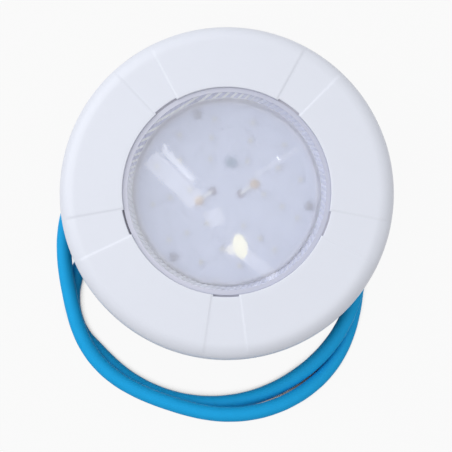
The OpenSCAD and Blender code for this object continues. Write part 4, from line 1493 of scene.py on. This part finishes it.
@dataclass
class LensAssembly:
    """The clear fluted lens with its seal, clamp ring and clamp screws."""

    radius: float = 52.3
    top: float = cad_size("lens", HIGH, "z")
    low: float = cad_size("lens", LOW, "z")
    front: float = 3.0
    flange: float = cad_size("lens", HIGH, "x")
    flange_top: float = 32.2
    inner_rear: float = 46.8
    inner_front: float = 50.8
    edge_round: float = 0.5
    edge_steps: int = 4
    front_round: float = 0.12
    front_steps: int = 6
    mid_share: float = 0.6
    rim_start: float = 49.9
    rim_step: float = 0.05
    round_step: float = 0.1
    frost_radius: float = 47.6
    wall_rows: int = 26
    fade_rows: int = 3
    flute_count: int = 104
    flute_steps: int = 9
    flute_depth: float = 0.35
    flute_slant: float = 6.0
    screws: PanScrews = PanScrews(
        "clamp_screw_heads", "clamp_screws", count=8, ring=61.45, start=22.5, seat_z=34.4,
        shank=1.5, head=2.6, height=1.7, length=6.2)

    def lens(self) -> Object:
        """Makes the fluted cup from its half section.

        Returns:
            The lens.
        """
        e, f = self.edge_round, self.front_round
        under = self.top - self.front
        mid = self.radius * self.mid_share
        clear = [(0.0, self.top), (mid, self.top), (self.rim_start, self.top)]
        rim = [(self.rim_start + self.rim_step, self.top), (self.radius - f - self.round_step, self.top)]
        rim += arc((self.radius - f, self.top - f), f, 90, 0, self.front_steps)
        rim += [(self.radius, self.flange_top), (self.flange, self.flange_top), (self.flange, self.low)]
        wall = [(self.inner_rear, self.low)]
        wall += between((self.inner_rear, self.low), (self.inner_front, under - e), self.wall_rows)
        inside = arc((self.inner_front - e, under - e), e, 0, 90, self.edge_steps)
        inner = [(self.inner_front - e - self.round_step, under)]
        frosted = [(self.frost_radius, under), (mid, under), (0.0, under)]
        section = clear + rim + wall + inside + inner + frosted
        before, after = len(clear + rim), len(inside + inner + frosted)
        last = len(wall) - 1
        fades = [min(1.0, i / self.fade_rows, (last - i) / self.fade_rows) for i in range(len(wall))]
        misted = len(rim + wall + inside)
        marks = {"flute": [0.0] * before + fades + [0.0] * after,
                 "mist": [0.0] * len(clear) + [1.0] * misted + [0.0] * len(inner + frosted),
                 "frost": [0.0] * (len(section) - len(frosted)) + [1.0] * len(frosted)}
        lens = new_piece("lens_cup", ([(r, 0, z) for r, z in section], []))
        for label, shares in marks.items():
            lens.data.attributes.new(label, "FLOAT", "POINT").data.foreach_set("value", shares)
        slant = math.radians(self.flute_slant) / ((under - self.low) * MM)
        values = {"Section Points": len(section), "Segments": self.flute_count * self.flute_steps,
                  "Flute Count": self.flute_count, "Flute Depth": self.flute_depth * MM,
                  "Flute Slant": slant, "Material": CLEAR.material(), "Mist Material": MISTED_PAINTED_LIGHT.material(),
                  "Frost Material": FROSTED.material()}
        return tidy_mesh(grow(lens, fluted_cup(), values), sharp=60.0)

    def build(self) -> None:
        """Builds the lens and what holds it."""
        seat(self.lens(), Body.LAMP, "clear_plastic", "lens")
        dress(SEAL_RUBBER, "lens_seal")
        dress(BODY_ABS, "clamp_ring")
        self.screws.build()


@dataclass
class LightBoard:
    """The LED board with its rings of LEDs, its leads and its screws."""

    top: float = cad_size("led_board", HIGH, "z")
    bead_ring: float = 46.1
    bead_size: float = 0.75
    bead_swell: float = 0.35
    bead_waves: tuple[int, ...] = (5, 8, 13, 21)
    bead_lift: float = 0.3
    bead_flat: float = 0.8
    bead_sides: int = 12
    bead_steps: int = 240
    plug_count: int = 2
    plug_ring: float = 7.2
    plug_start: float = -5.0
    plug_radii: Pair = (0.85, 1.95)
    plug_depths: Pair = (1.3, 0.45)
    plug_dip: float = 0.15
    plug_climb: float = 0.1
    plug_steps: int = 28
    led_size: Point = (3.5, 2.8, 0.8)
    led_bevel: float = 0.12
    dish: float = 1.05
    dish_depth: float = 0.2
    dish_taper: float = 0.85
    dish_start: float = 225.0
    dish_steps: int = 24
    rings: tuple[tuple[str, int, float, float], ...] = (
        ("leds_inner_ring", 6, 19.0, 57.0), ("leds_middle_ring", 9, 29.0, -14.0),
        ("leds_outer_ring", 12, 38.0, 10.0))

    def led(self, name: str) -> Object:
        """Makes one chip LED, with its dish marked for the accent.

        Args:
            name: Name of the piece.

        Returns:
            The LED, standing on height 0.
        """
        long, wide, high = self.led_size
        levels = ((0.0, 0.0), (high - self.led_bevel, 0.0), (high, self.led_bevel))
        rows = [[(x * (long / 2 - inset), y * (wide / 2 - inset), z) for x, y in SQUARE]
                for z, inset in levels]
        points, faces = loft(rows, closed=False)
        faces.pop()
        angles = [self.dish_start + 360 * i / self.dish_steps for i in range(self.dish_steps)]
        levels = ((self.dish, high), (self.dish * self.dish_taper, high - self.dish_depth))
        dish = loft([[spun(r, angle, z) for angle in angles] for r, z in levels], closed=False)
        del dish[1][-2]
        sides = len(SQUARE)
        rim, part = len(points), self.dish_steps // sides
        for k in range(sides):
            edge = [rim + (k * part + i) % self.dish_steps for i in reversed(range(part + 1))]
            faces.append([2 * sides + k, 2 * sides + (k + 1) % sides, *edge])
        led = new_piece(name, joined([(points, faces), dish]))
        accent = led.data.attributes.new("accent", "BOOLEAN", "FACE")
        accent.data.foreach_set("value", [False] * len(faces) + [True] * len(dish[1]))
        return tidy_mesh(led)

    def bead(self) -> Object:
        """Makes the hand-laid bead of silicone on the board's rim, uneven in width.

        Returns:
            The bead.
        """
        around = arc((0, 0), 1.0, 0, 360 - 360 / self.bead_sides, self.bead_sides - 1)
        rows = []
        for i in range(self.bead_steps):
            angle = 360 * i / self.bead_steps
            turn = math.radians(angle)
            wave = sum(math.sin(count * turn + count) for count in self.bead_waves) / len(self.bead_waves)
            size = self.bead_size + self.bead_swell * wave
            reach = self.bead_ring - (self.bead_size - size) / 2
            base, rise = self.top + size * self.bead_lift, size * self.bead_flat
            rows.append([spun(reach + size * x, angle, base + rise * z) for x, z in around])
        return tidy_mesh(new_piece("rim_bead", loft(rows), RIM_SILICONE), sharp=60.0)

    def plug(self) -> Object:
        """Makes the sealant round one lead in its hole.

        Returns:
            The sealant, with the board's top at height 0.
        """
        inner, outer = self.plug_radii
        low, high = (-depth for depth in self.plug_depths)
        section = [(inner, low), (outer, low), (outer, high), ((inner + outer) / 2, high - self.plug_dip),
                   (inner, high + self.plug_climb)]
        return tidy_mesh(new_piece("lead_plugs", turned(section, self.plug_steps)))

    def build(self) -> None:
        """Builds the board's rings of LEDs and dresses the rest."""
        seat(self.bead(), Body.LAMP, "seal_rubber")
        plugs = ring_of(self.plug(), self.plug_count, self.plug_start, LEAD_SEALANT,
                        radius=self.plug_ring, z=self.top)
        seat(plugs, Body.LAMP, "seal_rubber")
        for node, count, ring, start in self.rings:
            led = self.led(node.replace("leds", "chips"))
            leds = ring_of(led, count, start, LED_CASE, LED_PHOSPHOR, radius=ring, z=self.top)
            seat(leds, Body.LAMP, "led_phosphor", node)
        screws = PanScrews(
            "board_screw_heads", "board_screws", count=3, ring=42.5, start=-9.0, seat_z=self.top,
            shank=1.0, head=2.0, height=1.4, length=4.6, finish=DARK_STEEL)
        screws.build()
        dress(BOARD_WHITE, "led_board")
        dress(CHIP_GREY, "rectifier")
        dress(SOLDER, "solder_joints")
        dress(LEAD_WHITE, "led_lead_positive", "led_lead_negative")


@dataclass
class RearHousing:
    """The body with its pot, cover, gasket, gland and the driver inside."""

    finishes: tuple[tuple[Finish, tuple[str, ...]], ...] = (
        (BODY_ABS, ("rear_body", "pot_cover")),
        (GASKET_FOAM, ("wall_gasket",)),
        (SEAL_RUBBER, ("cover_seal", "gland_bush")),
        (GLAND_NYLON, ("gland_nut", "gland_thrust_ring")),
        (BOARD_GREEN, ("driver_board",)),
        (SCREW_STEEL, ("driver_screws", "terminal_screws")),
        (SLEEVE_BLUE, ("smoothing_capacitor",)),
        (COPPER, ("filter_inductor",)),
        (TERMINAL_GREEN, ("terminal_block",)))
    screws: PanScrews = PanScrews(
        "cover_screw_heads", "cover_screws", count=4, ring=32.6, start=GLAND_ANGLE + 45, seat_z=2.0,
        shank=1.5, head=2.6, height=1.7, length=9.0, facing=Facing.REAR)

    def build(self) -> None:
        """Dresses the housing and builds the cover's screws."""
        for finish, nodes in self.finishes:
            dress(finish, *nodes)
        self.screws.build()


def main() -> None:
    """Builds the pool light and its studio."""
    logging.basicConfig(level=logging.INFO, format="%(name)s: %(message)s")
    for assembly in (Studio(), SupplyCable(), FrontBezel(), LensAssembly(), LightBoard(), RearHousing()):
        LOG.info("building %s", type(assembly).__name__)
        assembly.build()


if __name__ == "__main__":
    main()
